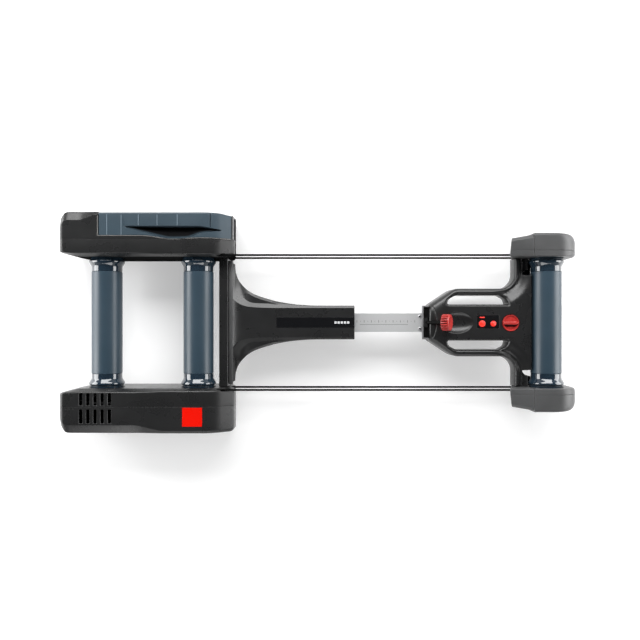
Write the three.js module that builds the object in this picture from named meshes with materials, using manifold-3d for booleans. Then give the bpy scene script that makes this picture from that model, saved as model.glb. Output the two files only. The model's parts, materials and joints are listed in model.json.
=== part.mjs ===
// Bike rollers with two rear drums in side pods, a telescopic beam and a front drum.
// Millimetres, +Z up, +X towards the front drum, +Y the side with the blue cover.
// Places along X are written from the axis of the middle drum until the last lines,
// which move the whole object so that the middle of its footprint is the origin.

import * as THREE from 'three';
import { mergeVertices } from 'three/addons/utils/BufferGeometryUtils.js';
import Module from 'manifold-3d';

const wasm = await Module();
wasm.setup();

// Layout
const rearDrumSpacing = 237.5;
const frontDrumDistance = 902.5;
const axleHeight = 95;
const footHeight = 8;
const housingRise = 62;
const innerFaceY = 166.5;
const clearance = 0.3;
const overrun = 6;
const shellWall = 3;

// Drums
const drumRadius = 38.5;
const drumWall = 3;
const sleeveHalfLength = 131;
const spigotDepth = 16;
const flareStartY = 142;
const flareRadius = 45;
const lipY = 160;
const lipRound = 3;
const flareRiseShare = 0.35;
const axleRadius = 6;
const axleOverhang = 5;
const drumSides = 26;
const drumEndSides = 20;

// Belts and their grooves
const beltRadius = 2;
const beltY = 171.3;
const beltRouteRadius = 39;
const beltSeat = 1;
const grooveHalfWidth = 2.8;
const grooveFlange = 1.5;
const flangeRise = 5;
const beltSides = 8;
const beltArcSteps = 10;
const beltSlotHalfHeight = 7;

// Bearings and steel side plates
const bearingOuterRadius = 14;
const bearingWidth = 8;
const bearingY = 184;
const bearingShoulderRadius = 9;
const bearingSides = 20;
const bossWall = 4;
const plateThickness = 5;
const plateMargin = 34;
const plateLift = 16;
const plateRise = 45;
const plateCorner = 24;
const padSize = 14;
const padInsetX = 20;

// Rear pods
const podRearReach = 102;
const podFrontX = 95.5;
const podOuterY = 279;
const podSeamY = 212;
const podRearRound = 9;
const podNoseRadius = 70;
const podCornerRadius = 22;
const podCornerLength = 20;
const podCornerCut = 34;
const podTaperLength = 70;
const podTaperDepth = 20;
const podBulge = 5.5;
const podBulgeDrop = 16;
const podRearSwell = 3;
const podLowChamfer = 4;
const facetWidth = 22;
const facetDrop = 25;
const leftFacetHold = 185;
const leftFacetEnd = 265;
const rightFacetHold = 55;
const rightFacetEnd = 93;
const facetLeast = 2;
const noseSteps = 6;

// Cooling slots in the left pod
const ventFirst = 55;
const ventPitch = 18;
const ventCount = 5;
const ventWidth = 8.5;
const ventInnerStart = 177;
const ventInnerEnd = 208;
const ventOuterStart = 218;
const ventOuterEnd = 253;

// Blue cover with its hand pocket on the right pod
const rightSeamY = 209;
const coverStart = 98;
const coverBack = 2;
const coverBottom = 14;
const coverInnerRear = 219;
const coverInnerWaist = 210.5;
const coverInnerFront = 213;
const waistStartReach = 43.5;
const waistReach = 121.5;
const waistEndReach = 193.5;
const pocketFrontGap = 21.5;
const pocketLength = 252;
const pocketOuterY = 241.5;
const pocketWidth = 26.5;
const pocketDepth = 38;
const pocketWall = 2.5;
const pocketCorner = 12;
const pocketShares = [[0, 0], [0.76, 0], [1, 0.32], [0.77, 0.57], [0.6, 1], [0.48, 1], [0.25, 0.62]];

// Crossbeam between the pods
const beamBackX = 54.5;
const beamWidth = 23;
const beamBottom = 26;
const beamTop = 104;
const beamWall = 4;

// Neck
const neckEndX = 404.5;
const neckTop = 112;
const neckRearDrop = 10;
const neckBottom = 34;
const neckBase = 4;
const neckHalfWidth = 43.5;
const neckFlareHalfWidth = 160;
const neckTopHalfWidth = 37.5;
const neckTopRearHalfWidth = 90;
const neckWall = 4;
const flangeThickness = 15;
const bevelWidth = 8;
const bevelDrop = 4;
const rimDrop = 9;
const rimRound = 3;
const neckRibThickness = 10;
const bevelShare = 0.4;
const rimSlopeShare = 0.1;
const rimRoundShare = 0.2;
const fluteShare = 0.65;
const fluteDropShare = 0.15;
const hollowDropShare = 0.2;
const barTailLength = 145;
const stripLength = 202;
const stripWidth = 27;
const stripThickness = 1.2;
const stripRecess = 1;

// Telescopic bar
const barWidth = 50;
const barHeight = 32;
const barTop = 95;
const barWall = 2.5;
const barInHead = 150;
const barScrewRadius = 4;
const barScrewHeight = 3;
const barScrewBack = 5;
const barScrewY = 16.5;
const screwSides = 12;
const slideIn = 75;

// Front head
const headTop = 112;
const headBottom = 26;
const headParting = 58;
const headWall = 5;
const headRound = 9;
const headLength = 264.5;
const headToDrum = 41.5;
const headStartHalfWidth = 43.5;
const shoulderLength = 6;
const shoulderHalfWidth = 49;
const handleRise = 80;
const handleHalfWidth = 88;
const armDepth = 48.5;
const armNotch = 15.5;
const armNotchY = 134;
const armNotchSlant = 13;
const armSweep = 45;
const handleHoleBack = 53;
const handleHoleLength = 136;
const handleHoleTaper = 19;
const handleHoleInnerY = 47.6;
const handleHoleOuterY = 70.7;
const holeCorner = 7;
const holeOuterCorner = 21;
const guideThickness = 12;
const secondGuideBack = 103.5;

// Collar at the mouth of the head
const collarLength = 16.7;
const collarRim = 3;
const collarTop = 107;
const collarBottom = 40;
const collarFloor = 97.6;

// Clamp knob, its screw and its shoe
const knobRadius = 21;
const knobLength = 22;
const knobBack = 42;
const knobHeight = 127.5;
const knobTilt = THREE.MathUtils.degToRad(27);
const knobRibs = 20;
const knobRibPoints = 3;
const knobRibDepth = 1.6;
const stemRadius = 4;
const stemSides = 14;
const scoopLength = 84;
const scoopWidth = 54;
const scoopDepth = 11;
const scoopBack = 67.5;
const scoopWall = 2;
const bowlSides = 18;
const knobRoom = 1.4;
const shoeLength = 10.5;
const shoeHeight = 11;

// Control panel, lights and dial
const panelBack = 124;
const panelLength = 56;
const panelWidth = 34;
const panelMiddleY = 2;
const panelRecess = 2.6;
const panelThickness = 2.8;
const lightBackInset = 12;
const lightFrontInset = 41;
const lightY = -3;
const lightBackRadius = 8.2;
const lightFrontRadius = 7.2;
const lightHeight = 1.6;
const barLightLength = 15;
const barLightWidth = 3.6;
const barLightY = 13;
const dialBack = 210;
const dialY = -1.3;
const dialRadius = 21;
const dialRecess = 4;
const dialThickness = 5.5;
const dialGripHeight = 11;
const dialGripWidth = 9;
const dialGripPoint = 8;

// Front end housings
const armEndLength = 67.8;
const armEndRearY = 213;
const armEndFrontY = 222;
const armEndDrop = 4;
const capOuterY = 226;
const capReach = 71;
const capRise = 60;
const capTopRound = 60;
const capLowRound = 48;
const capEdge = 7;
const capChamfer = 8;
const capOuterCorner = 24;
const capInnerCorner = 9;

// Brake and flywheel in the left pod
const discRadius = 56;
const discThickness = 4;
const discY = 201.3;
const flywheelRadius = 55;
const flywheelThickness = 24;
const flywheelWeb = 10;
const flywheelHubRadius = 20;
const yokeLength = 36;
const yokeHeight = 30;
const yokeGap = 1.5;
const yokeCheek = 10;
const yokeReach = 16;
const yokeTravel = 12;
const motorRadius = 13;
const motorLength = 34;

// Electronics in the right pod
const boardLength = 80;
const boardHeight = 56;
const boardThickness = 1.6;
const boardMiddleX = -118;
const chipSize = 14;
const chipHeight = 3;
const chipSpreadShare = 0.3;
const chipRiseShare = 0.15;
const socketRadius = 6;
const socketHole = 3.2;
const socketLength = 18;
const socketDepth = 10;
const socketHeight = 40;
const socketY = 236;
const socketFlange = 2;

// Feet
const rearFootLength = 60;
const rearFootWidth = 64;
const frontFootLength = 52;
const frontFootWidth = 26;
const footCorner = 10;
const rearFootInset = 62;
const cornerSteps = 4;

const housingTop = axleHeight + housingRise;
const podStartX = -rearDrumSpacing - podRearReach;
const podLength = podFrontX - podStartX;
const pocketStart = podLength - pocketFrontGap - pocketLength;
const coverWaistStart = pocketStart + waistStartReach;
const coverWaist = pocketStart + waistReach;
const coverWaistEnd = pocketStart + waistEndReach;
const plateBottom = footHeight + plateLift;
const plateTop = axleHeight + plateRise;
const plateY = bearingY;
const beamFrontX = beamBackX + beamWidth;
const neckStartX = beamFrontX + clearance;
const armFrontX = frontDrumDistance - headToDrum;
const armBackX = armFrontX - armDepth;
const capSeamX = armFrontX + clearance;
const armEndBackX = capSeamX - armEndLength;
const capTop = axleHeight + capRise;
const armEndTop = capTop - armEndDrop;
const headStartX = armFrontX - headLength;
const handleStartX = headStartX + handleRise;
const handleHoleStartX = headStartX + handleHoleBack;
const knobX = headStartX + knobBack;
const panelStartX = headStartX + panelBack;
const lightBackX = panelStartX + lightBackInset;
const dialX = headStartX + dialBack;
const collarStartX = headStartX - clearance - collarLength;
const shoeHalfWidth = barScrewY - barScrewRadius - 2 * clearance;
const grooveRadius = beltRouteRadius - beltRadius - beltSeat;
const flangeRadius = grooveRadius + flangeRise;
const hubHoleRadius = flangeRadius + shellWall;
const axleBore = axleRadius + clearance;
const weldDistance = clearance / 300;

// Solids and the meshes made of them

function solid(geometry) {
  const bare = geometry.clone();
  bare.deleteAttribute('normal');
  bare.deleteAttribute('uv');
  const merged = mergeVertices(bare, weldDistance);
  return new wasm.Manifold(new wasm.Mesh({
    numProp: 3,
    vertProperties: new Float32Array(merged.attributes.position.array),
    triVerts: new Uint32Array(merged.index.array),
  }));
}

function geometryOf(body) {
  const mesh = body.getMesh();
  const geometry = new THREE.BufferGeometry();
  geometry.setAttribute('position', new THREE.BufferAttribute(mesh.vertProperties, 3));
  geometry.setIndex(new THREE.BufferAttribute(mesh.triVerts, 1));
  return geometry;
}

function mirrored(geometry) {
  const other = geometry.clone();
  other.deleteAttribute('normal');
  other.deleteAttribute('uv');
  other.scale(1, -1, 1);
  const index = other.index ? other.index.array : Uint32Array.from({ length: other.attributes.position.count },
    (_, place) => place);
  const turned = Uint32Array.from(index, (_, place) => index[place - (place % 3) + 2 - (place % 3)]);
  other.setIndex(new THREE.BufferAttribute(turned, 1));
  return other;
}

const rollers = new THREE.Group();

function place(name, shape, look, at = new THREE.Vector3()) {
  const geometry = shape.isBufferGeometry ? shape : geometryOf(shape);
  const mesh = new THREE.Mesh(geometry, new THREE.MeshStandardMaterial(look));
  mesh.name = name;
  mesh.position.copy(at);
  rollers.add(mesh);
}

function placePair(name, shape, look, at = new THREE.Vector3()) {
  const geometry = shape.isBufferGeometry ? shape : geometryOf(shape);
  place(`right_${name}`, geometry, look, at);
  place(`left_${name}`, mirrored(geometry), look, new THREE.Vector3(at.x, -at.y, at.z));
}

const looks = {
  casing: { color: 0x26272a, roughness: 0.62, metalness: 0 },
  grip: { color: 0x56646f, roughness: 0.55, metalness: 0 },
  cap: { color: 0x4a4b4d, roughness: 0.55, metalness: 0 },
  sleeve: { color: 0x3d5260, roughness: 0.35, metalness: 0.1 },
  gloss: { color: 0x141c24, roughness: 0.12, metalness: 0 },
  steel: { color: 0x8b8f94, roughness: 0.35, metalness: 0.9 },
  iron: { color: 0x3c3d40, roughness: 0.55, metalness: 0.8 },
  aluminium: { color: 0xc9cbcd, roughness: 0.32, metalness: 0.9 },
  rubber: { color: 0x141414, roughness: 0.9, metalness: 0 },
  red: { color: 0xb8231d, roughness: 0.4, metalness: 0 },
  light: { color: 0xff2a1f, roughness: 0.2, metalness: 0 },
  board: { color: 0x1f4a33, roughness: 0.6, metalness: 0 },
};

// Shapes

function roundedShape(corners) {
  const points = [];
  corners.forEach(([x, y, radius = 0], index) => {
    const here = new THREE.Vector2(x, y);
    const before = new THREE.Vector2(...corners.at(index - 1)).sub(here);
    const after = new THREE.Vector2(...corners[(index + 1) % corners.length]).sub(here);
    if (radius === 0) {
      points.push(here);
      return;
    }
    const shortest = Math.min(before.length(), after.length());
    before.normalize();
    after.normalize();
    const half = Math.acos(THREE.MathUtils.clamp(before.dot(after), -1, 1)) / 2;
    const reach = Math.min(radius / Math.tan(half), shortest / 2);
    const bend = reach * Math.tan(half);
    const inward = before.clone().add(after).normalize();
    const centre = here.clone().addScaledVector(inward, bend / Math.sin(half));
    const start = here.clone().addScaledVector(before, reach).sub(centre).angle();
    const end = here.clone().addScaledVector(after, reach).sub(centre).angle();
    const turn = THREE.MathUtils.euclideanModulo(end - start + Math.PI, 2 * Math.PI) - Math.PI;
    for (let step = 0; step <= cornerSteps; step += 1) {
      const angle = start + (turn * step) / cornerSteps;
      points.push(new THREE.Vector2(Math.cos(angle), Math.sin(angle)).multiplyScalar(bend).add(centre));
    }
  });
  const apart = points.filter((point, index) => point.distanceTo(points.at(index - 1)) > 10 * weldDistance);
  return new THREE.Shape(apart);
}

function boxBetween(x0, x1, y0, y1, z0, z1) {
  const box = new THREE.BoxGeometry(x1 - x0, y1 - y0, z1 - z0);
  return solid(box.translate((x0 + x1) / 2, (y0 + y1) / 2, (z0 + z1) / 2));
}

function upright(shape, z0, z1) {
  return new THREE.ExtrudeGeometry(shape, { depth: z1 - z0, bevelEnabled: false }).translate(0, 0, z0);
}

function sideways(shape, y0, y1) {
  const slab = new THREE.ExtrudeGeometry(shape, { depth: y1 - y0, bevelEnabled: false });
  return slab.rotateX(Math.PI / 2).translate(0, y1, 0);
}

function roundAcross(radius, y0, y1, x, z, sides) {
  return new THREE.CylinderGeometry(radius, radius, y1 - y0, sides).translate(x, (y0 + y1) / 2, z);
}

function roundUpright(radius, z0, z1, x, y, sides) {
  const post = new THREE.CylinderGeometry(radius, radius, z1 - z0, sides).rotateX(Math.PI / 2);
  return post.translate(x, y, (z0 + z1) / 2);
}

function lathed(profile, sides) {
  const closed = [...profile, profile[0]].map(([radius, y]) => new THREE.Vector2(radius, y));
  return geometryOf(solid(new THREE.LatheGeometry(closed, sides)));
}

function skin(rings, joined) {
  const count = rings[0].length;
  const position = rings.flatMap((ring) => ring.flatMap((point) => point.toArray()));
  const index = [];
  const spans = joined ? rings.length : rings.length - 1;
  for (let ring = 0; ring < spans; ring += 1) {
    const next = (ring + 1) % rings.length;
    for (let side = 0; side < count; side += 1) {
      const beside = (side + 1) % count;
      const [a, b] = [ring * count + side, ring * count + beside];
      const [c, d] = [next * count + beside, next * count + side];
      index.push(a, b, c, a, c, d);
    }
  }
  if (!joined) {
    const flat = (ring) => ring.map((point) => new THREE.Vector2(point.y, point.z));
    const last = (rings.length - 1) * count;
    THREE.ShapeUtils.triangulateShape(flat(rings[0]), []).forEach(([a, b, c]) => index.push(a, c, b));
    THREE.ShapeUtils.triangulateShape(flat(rings.at(-1)), [])
      .forEach(([a, b, c]) => index.push(last + a, last + b, last + c));
  }
  const geometry = new THREE.BufferGeometry();
  geometry.setAttribute('position', new THREE.Float32BufferAttribute(position, 3));
  geometry.setIndex(index);
  return geometry;
}

function loft(stations, sectionAt) {
  return solid(skin(stations.map((x) => sectionAt(x).map(([y, z]) => new THREE.Vector3(x, y, z))), false));
}

function arcDrop(distance, radius) {
  const reach = THREE.MathUtils.clamp(distance, 0, radius);
  return radius - Math.sqrt(radius * radius - reach * reach);
}

function risingShare(value, start, end) {
  return THREE.MathUtils.smoothstep(value, start, end);
}

// Drums

const drumTube = lathed([
  [drumRadius - drumWall, -sleeveHalfLength],
  [drumRadius, -sleeveHalfLength],
  [drumRadius, sleeveHalfLength],
  [drumRadius - drumWall, sleeveHalfLength],
], drumSides);

function makeDrumEnd() {
  const spigotRadius = drumRadius - drumWall - clearance;
  const seatY = sleeveHalfLength + clearance;
  const flareMiddleY = (flareStartY + lipY) / 2;
  const grooveStart = beltY - grooveHalfWidth;
  const grooveEnd = beltY + grooveHalfWidth;
  return lathed([
    [axleBore, sleeveHalfLength - spigotDepth],
    [spigotRadius, sleeveHalfLength - spigotDepth],
    [spigotRadius, seatY],
    [drumRadius, seatY],
    [drumRadius, flareStartY],
    [THREE.MathUtils.lerp(drumRadius, flareRadius, flareRiseShare), flareMiddleY],
    [flareRadius, lipY - lipRound],
    [flareRadius, lipY],
    [flareRadius - lipRound, lipY + lipRound],
    [flangeRadius, lipY + lipRound],
    [flangeRadius, grooveStart],
    [grooveRadius, grooveStart],
    [grooveRadius, grooveEnd],
    [flangeRadius, grooveEnd],
    [flangeRadius, grooveEnd + grooveFlange],
    [bearingShoulderRadius, grooveEnd + grooveFlange],
    [bearingShoulderRadius, bearingY - clearance],
    [axleBore, bearingY - clearance],
  ], drumEndSides);
}

const drumEnd = makeDrumEnd();

const bearing = lathed([
  [axleBore, bearingY],
  [bearingOuterRadius, bearingY],
  [bearingOuterRadius, bearingY + bearingWidth],
  [axleBore, bearingY + bearingWidth],
], bearingSides);

function makeDrum(name, x, leftEnd) {
  const at = new THREE.Vector3(x, 0, axleHeight);
  const rightEnd = bearingY + bearingWidth + axleOverhang;
  place(`${name}_drum_tube`, drumTube, looks.sleeve, at);
  place(`${name}_drum_end_right`, drumEnd, looks.gloss, at);
  place(`${name}_drum_end_left`, mirrored(drumEnd), looks.gloss, at);
  place(`${name}_drum_axle`, roundAcross(axleRadius, -leftEnd, rightEnd, 0, 0, bearingSides), looks.steel, at);
  place(`${name}_bearing_right`, bearing, looks.steel, at);
  place(`${name}_bearing_left`, mirrored(bearing), looks.steel, at);
}

const flywheelY = discY - clearance;
makeDrum('rear', -rearDrumSpacing, discY + discThickness + axleOverhang);
makeDrum('middle', 0, flywheelY + flywheelThickness + axleOverhang);
makeDrum('front', frontDrumDistance, bearingY + bearingWidth + axleOverhang);

const brakeDisc = lathed([
  [axleBore, discY],
  [discRadius, discY],
  [discRadius, discY + discThickness],
  [flywheelHubRadius, discY + discThickness],
  [flywheelHubRadius, discY + discThickness + axleOverhang],
  [axleBore, discY + discThickness + axleOverhang],
], drumSides);
place('brake_disc', mirrored(brakeDisc), looks.aluminium, new THREE.Vector3(-rearDrumSpacing, 0, axleHeight));

const webStart = flywheelY + (flywheelThickness - flywheelWeb) / 2;
const rimInner = flywheelRadius - flywheelHubRadius / 2;
const flywheel = lathed([
  [axleBore, flywheelY],
  [flywheelHubRadius, flywheelY],
  [flywheelHubRadius, webStart],
  [rimInner, webStart],
  [rimInner, flywheelY],
  [flywheelRadius, flywheelY],
  [flywheelRadius, flywheelY + flywheelThickness],
  [rimInner, flywheelY + flywheelThickness],
  [rimInner, webStart + flywheelWeb],
  [flywheelHubRadius, webStart + flywheelWeb],
  [flywheelHubRadius, flywheelY + flywheelThickness],
  [axleBore, flywheelY + flywheelThickness],
], drumSides);
place('flywheel', mirrored(flywheel), looks.iron, new THREE.Vector3(0, 0, axleHeight));

// Belts: one closed loop each side over the middle and the front drum

function makeBelt() {
  const rings = [];
  const addArc = (x, startAngle) => {
    for (let step = 0; step <= beltArcSteps; step += 1) {
      const angle = startAngle + (Math.PI * step) / beltArcSteps;
      const ring = [];
      for (let side = 0; side < beltSides; side += 1) {
        const turn = (2 * Math.PI * side) / beltSides;
        const radius = beltRouteRadius + beltRadius * Math.cos(turn);
        const y = beltY + beltRadius * Math.sin(turn);
        ring.push(new THREE.Vector3(x + radius * Math.cos(angle), y, axleHeight + radius * Math.sin(angle)));
      }
      rings.push(ring);
    }
  };
  addArc(0, Math.PI / 2);
  addArc(frontDrumDistance, -Math.PI / 2);
  return geometryOf(solid(skin(rings, true)));
}

placePair('belt', makeBelt(), looks.rubber);

function beltSlots(x0, x1) {
  const y0 = beltY - beltRadius - clearance;
  const y1 = beltY + 2 * beltRadius;
  const over = axleHeight + beltRouteRadius;
  const under = axleHeight - beltRouteRadius;
  const upper = boxBetween(x0, x1, y0, y1, over - beltSlotHalfHeight, over + beltSlotHalfHeight);
  return upper.add(boxBetween(x0, x1, y0, y1, under - beltSlotHalfHeight, under + beltSlotHalfHeight));
}

// Steel side plates that hold the rear bearings

function makeSidePlate() {
  const outline = roundedShape([
    [-rearDrumSpacing - plateMargin, plateBottom, plateCorner],
    [plateMargin, plateBottom, plateCorner],
    [plateMargin, plateTop, plateCorner],
    [-rearDrumSpacing - plateMargin, plateTop, plateCorner],
  ]);
  let plate = solid(sideways(outline, plateY, plateY + plateThickness));
  [-rearDrumSpacing, 0].forEach((x) => {
    const outer = bearingOuterRadius + bossWall;
    const far = plateY + bearingWidth;
    const hole = bearingOuterRadius + clearance;
    plate = plate.add(solid(roundAcross(outer, plateY, far, x, axleHeight, bearingSides)));
    plate = plate.subtract(solid(
      roundAcross(hole, plateY - overrun, far + overrun, x, axleHeight, bearingSides)));
  });
  return plate;
}

placePair('side_plate', makeSidePlate(), looks.steel);

// Rear pods

function podTopAt(u, inset) {
  const rear = arcDrop(podRearRound - u, podRearRound - inset);
  const nose = arcDrop(u - (podLength - podNoseRadius), podNoseRadius - inset);
  return housingTop - inset - rear - nose;
}

function podOuterAt(u, inset) {
  const cut = podCornerCut * (1 - Math.min(u / podCornerLength, 1));
  const corner = arcDrop(u - (podLength - podCornerRadius), podCornerRadius - inset);
  return podOuterY - inset - cut - corner;
}

function podSection(u, inset, facetHold, facetEnd) {
  const top = podTopAt(u, inset);
  const outer = podOuterAt(u, inset);
  const bottom = footHeight + inset;
  const low = innerFaceY + inset + podTaperDepth * (1 - Math.min(u / podTaperLength, 1));
  const swell = podRearSwell * (1 - risingShare(u, leftFacetHold, leftFacetEnd));
  const high = Math.max(innerFaceY + podBulge + inset + swell, low + podLowChamfer / 2);
  const faded = 1 - risingShare(u, facetHold, facetEnd);
  const across = facetLeast + (facetWidth - facetLeast) * faded;
  const down = facetLeast + (facetDrop - facetLeast) * faded;
  return [
    [low, bottom],
    [outer - podLowChamfer, bottom],
    [outer, bottom + podLowChamfer],
    [outer, top - down],
    [outer - across, top],
    [high, top],
    [low, top - podBulgeDrop],
  ];
}

function podStations(inset, holds) {
  const noseStart = podLength - podNoseRadius;
  const stations = [inset, podRearRound / 2, podRearRound, podCornerLength, podTaperLength, ...holds, noseStart];
  for (let step = 1; step <= noseSteps; step += 1) {
    stations.push(noseStart + (podNoseRadius - inset) * Math.sin((Math.PI / 2) * (step / noseSteps)));
  }
  return stations.sort((a, b) => a - b);
}

function makeHollowPod(facetHold, facetEnd) {
  const holds = [facetHold, (facetHold + facetEnd) / 2, facetEnd];
  const [outside, inside] = [0, shellWall].map((inset) => loft(
    podStations(inset, holds).map((u) => podStartX + u),
    (x) => podSection(x - podStartX, inset, facetHold, facetEnd),
  ));
  return outside.subtract(inside);
}

function podSide(start, end) {
  return boxBetween(podStartX - overrun, podFrontX + overrun, start, end, -overrun, housingTop + overrun);
}

const padLowZ = axleHeight - hubHoleRadius - padSize / 2;
const padPlaces = [
  [-rearDrumSpacing - plateMargin + padInsetX, padLowZ],
  [plateMargin - padInsetX, padLowZ],
  [-rearDrumSpacing / 2, plateTop - padInsetX],
  [-rearDrumSpacing / 2, padLowZ],
];

function makeInnerShell(hollow, seamY) {
  let shell = hollow.intersect(podSide(0, seamY));
  padPlaces.forEach(([x, z]) => {
    const half = padSize / 2;
    const start = innerFaceY + shellWall / 2;
    shell = shell.add(boxBetween(x - half, x + half, start, plateY - clearance, z - half, z + half));
  });
  [-rearDrumSpacing, 0].forEach((x) => {
    const far = innerFaceY + shellWall + overrun;
    shell = shell.subtract(solid(
      roundAcross(hubHoleRadius, innerFaceY - overrun, far, x, axleHeight, drumEndSides)));
  });
  return shell.subtract(beltSlots(0, podFrontX + overrun));
}

function ventSlots(start, end) {
  let slots = null;
  for (let slot = 0; slot < ventCount; slot += 1) {
    const x = podStartX + ventFirst + slot * ventPitch;
    const cut = boxBetween(x - ventWidth / 2, x + ventWidth / 2, start, end,
      housingTop - shellWall - overrun, housingTop + overrun);
    slots = slots ? slots.add(cut) : cut;
  }
  return slots;
}

const leftHollow = makeHollowPod(leftFacetHold, leftFacetEnd);
const leftInner = makeInnerShell(leftHollow, podSeamY).subtract(ventSlots(ventInnerStart, ventInnerEnd));
place('left_pod_inner_shell', mirrored(geometryOf(leftInner)), looks.casing);

const leftOuter = leftHollow.intersect(podSide(podSeamY + clearance, podOuterY + overrun))
  .subtract(ventSlots(ventOuterStart, ventOuterEnd));
place('left_pod_outer_shell', mirrored(geometryOf(leftOuter)), looks.casing);

// Blue cover on the right pod

function coverInnerAt(u) {
  const narrow = risingShare(u, coverWaistStart, coverWaist);
  const widen = risingShare(u, coverWaist, coverWaistEnd);
  return coverInnerRear + (coverInnerWaist - coverInnerRear) * narrow
    + (coverInnerFront - coverInnerWaist) * widen;
}

function coverStations(inset) {
  const holds = [coverWaistStart, (coverWaistStart + coverWaist) / 2, coverWaist, coverWaistEnd];
  const ahead = podStations(inset, holds).filter((u) => u > coverStart + inset + shellWall);
  return [coverStart + inset, ...ahead].map((u) => podStartX + u);
}

function coverBlock(inset, bottom) {
  return loft(coverStations(inset), (x) => {
    const u = x - podStartX;
    const inner = coverInnerAt(u) + inset;
    const outer = podOuterAt(u, inset) - coverBack;
    const top = podTopAt(u, inset);
    return [[inner, bottom], [outer, bottom], [outer, top], [inner, top]];
  });
}

function coverRoom() {
  return loft([podStartX + coverStart - clearance, ...coverStations(0), podFrontX + overrun], (x) => {
    const inner = coverInnerAt(x - podStartX) - clearance;
    const low = coverBottom - clearance;
    const high = housingTop + overrun;
    return [[inner, low], [podOuterY + overrun, low], [podOuterY + overrun, high], [inner, high]];
  });
}

function pocketShape(grow) {
  const start = podStartX + pocketStart - grow;
  const end = start + pocketLength + 2 * grow;
  const outer = pocketOuterY + grow;
  const inner = pocketOuterY - pocketWidth - grow;
  return roundedShape(pocketShares.map(([alongShare, acrossShare]) => [
    THREE.MathUtils.lerp(start, end, alongShare),
    THREE.MathUtils.lerp(outer, inner, acrossShare),
    pocketCorner,
  ]));
}

const pocketFloor = housingTop - pocketDepth;
const coverSolid = coverBlock(0, coverBottom);
const pocketLiner = solid(upright(pocketShape(pocketWall), pocketFloor - pocketWall, housingTop))
  .intersect(coverSolid);
const pocketHollow = solid(upright(pocketShape(0), pocketFloor, housingTop + overrun));
const resistanceCover = coverSolid
  .subtract(coverBlock(shellWall, coverBottom - overrun))
  .add(pocketLiner)
  .subtract(pocketHollow);
place('side_cover', resistanceCover, looks.grip);

const rightHollow = makeHollowPod(rightFacetHold, rightFacetEnd);
const socketHoleBody = solid(new THREE.CylinderGeometry(
  socketRadius + clearance, socketRadius + clearance, 4 * overrun, screwSides)
  .rotateZ(Math.PI / 2)
  .translate(podStartX, socketY, socketHeight));
place('right_pod_inner_shell', makeInnerShell(rightHollow, rightSeamY), looks.casing);
place('right_pod_outer_shell', rightHollow
  .intersect(podSide(rightSeamY + clearance, podOuterY + overrun))
  .subtract(coverRoom())
  .subtract(socketHoleBody), looks.casing);

// Crossbeam

const beamEndY = innerFaceY - clearance;
const crossbeam = boxBetween(beamBackX, beamFrontX, -beamEndY, beamEndY, beamBottom, beamTop)
  .subtract(boxBetween(beamBackX + beamWall, beamFrontX - beamWall,
    -beamEndY - overrun, beamEndY + overrun, beamBottom + beamWall, beamTop - beamWall));
place('crossbeam', crossbeam, looks.casing);

// Neck: the outline narrows from the flange to the bar, with a flute along each side of the flare

const neckLength = neckEndX - neckStartX;
const neckShares = [
  [0, 1, 1],
  [flangeThickness / neckLength, 1, 0.75],
  [0.077, 0.62, 0.45],
  [0.132, 0.434, 0.22],
  [0.22, 0.262, 0.08],
  [0.32, 0.15, 0],
  [0.434, 0.09, 0],
  [0.545, 0.03, 0],
  [0.743, 0, 0],
  [1, 0, 0],
];

function neckWidthsAt(x) {
  const share = (x - neckStartX) / neckLength;
  const slack = weldDistance / neckLength;
  const next = Math.max(neckShares.findIndex(([along]) => along >= share - slack), 1);
  const [from, to] = [neckShares[next - 1], neckShares[next]];
  const between = THREE.MathUtils.clamp((share - from[0]) / (to[0] - from[0]), 0, 1);
  const widen = THREE.MathUtils.lerp(from[1], to[1], between);
  const spread = THREE.MathUtils.lerp(from[2], to[2], between);
  return {
    outer: THREE.MathUtils.lerp(neckHalfWidth, neckFlareHalfWidth, widen),
    ridge: THREE.MathUtils.lerp(neckTopHalfWidth, neckTopRearHalfWidth, spread),
    top: neckTop - neckRearDrop * spread,
  };
}

function neckSection(x) {
  const { outer, ridge, top } = neckWidthsAt(x);
  const side = outer - ridge;
  const bevel = Math.min(bevelWidth, side * bevelShare);
  const rimZ = top - rimDrop - side * rimSlopeShare;
  const half = [
    [outer, neckBottom],
    [outer, rimZ - rimRound],
    [outer - Math.min(rimRound, side * rimRoundShare), rimZ],
    [ridge + side * fluteShare, rimZ + rimRound - side * fluteDropShare],
    [ridge + bevel, top - bevelDrop],
    [ridge, top],
  ];
  return [...half, ...half.toReversed().map(([y, z]) => [-y, z])];
}

function neckHollowSection(x) {
  const { outer, ridge, top } = neckWidthsAt(x);
  const wide = outer - neckWall;
  const high = top - rimDrop - neckWall - (outer - ridge) * hollowDropShare;
  const crown = Math.min(ridge, wide) - neckWall;
  const half = [[wide, neckBottom - overrun], [wide, high - neckWall], [crown, top - 2 * neckWall]];
  return [...half, ...half.toReversed().map(([y, z]) => [-y, z])];
}

function barRoom(x0, x1, gap) {
  const half = barWidth / 2 + gap;
  return boxBetween(x0, x1, -half, half, barTop - barHeight - gap, barTop + gap);
}

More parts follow.
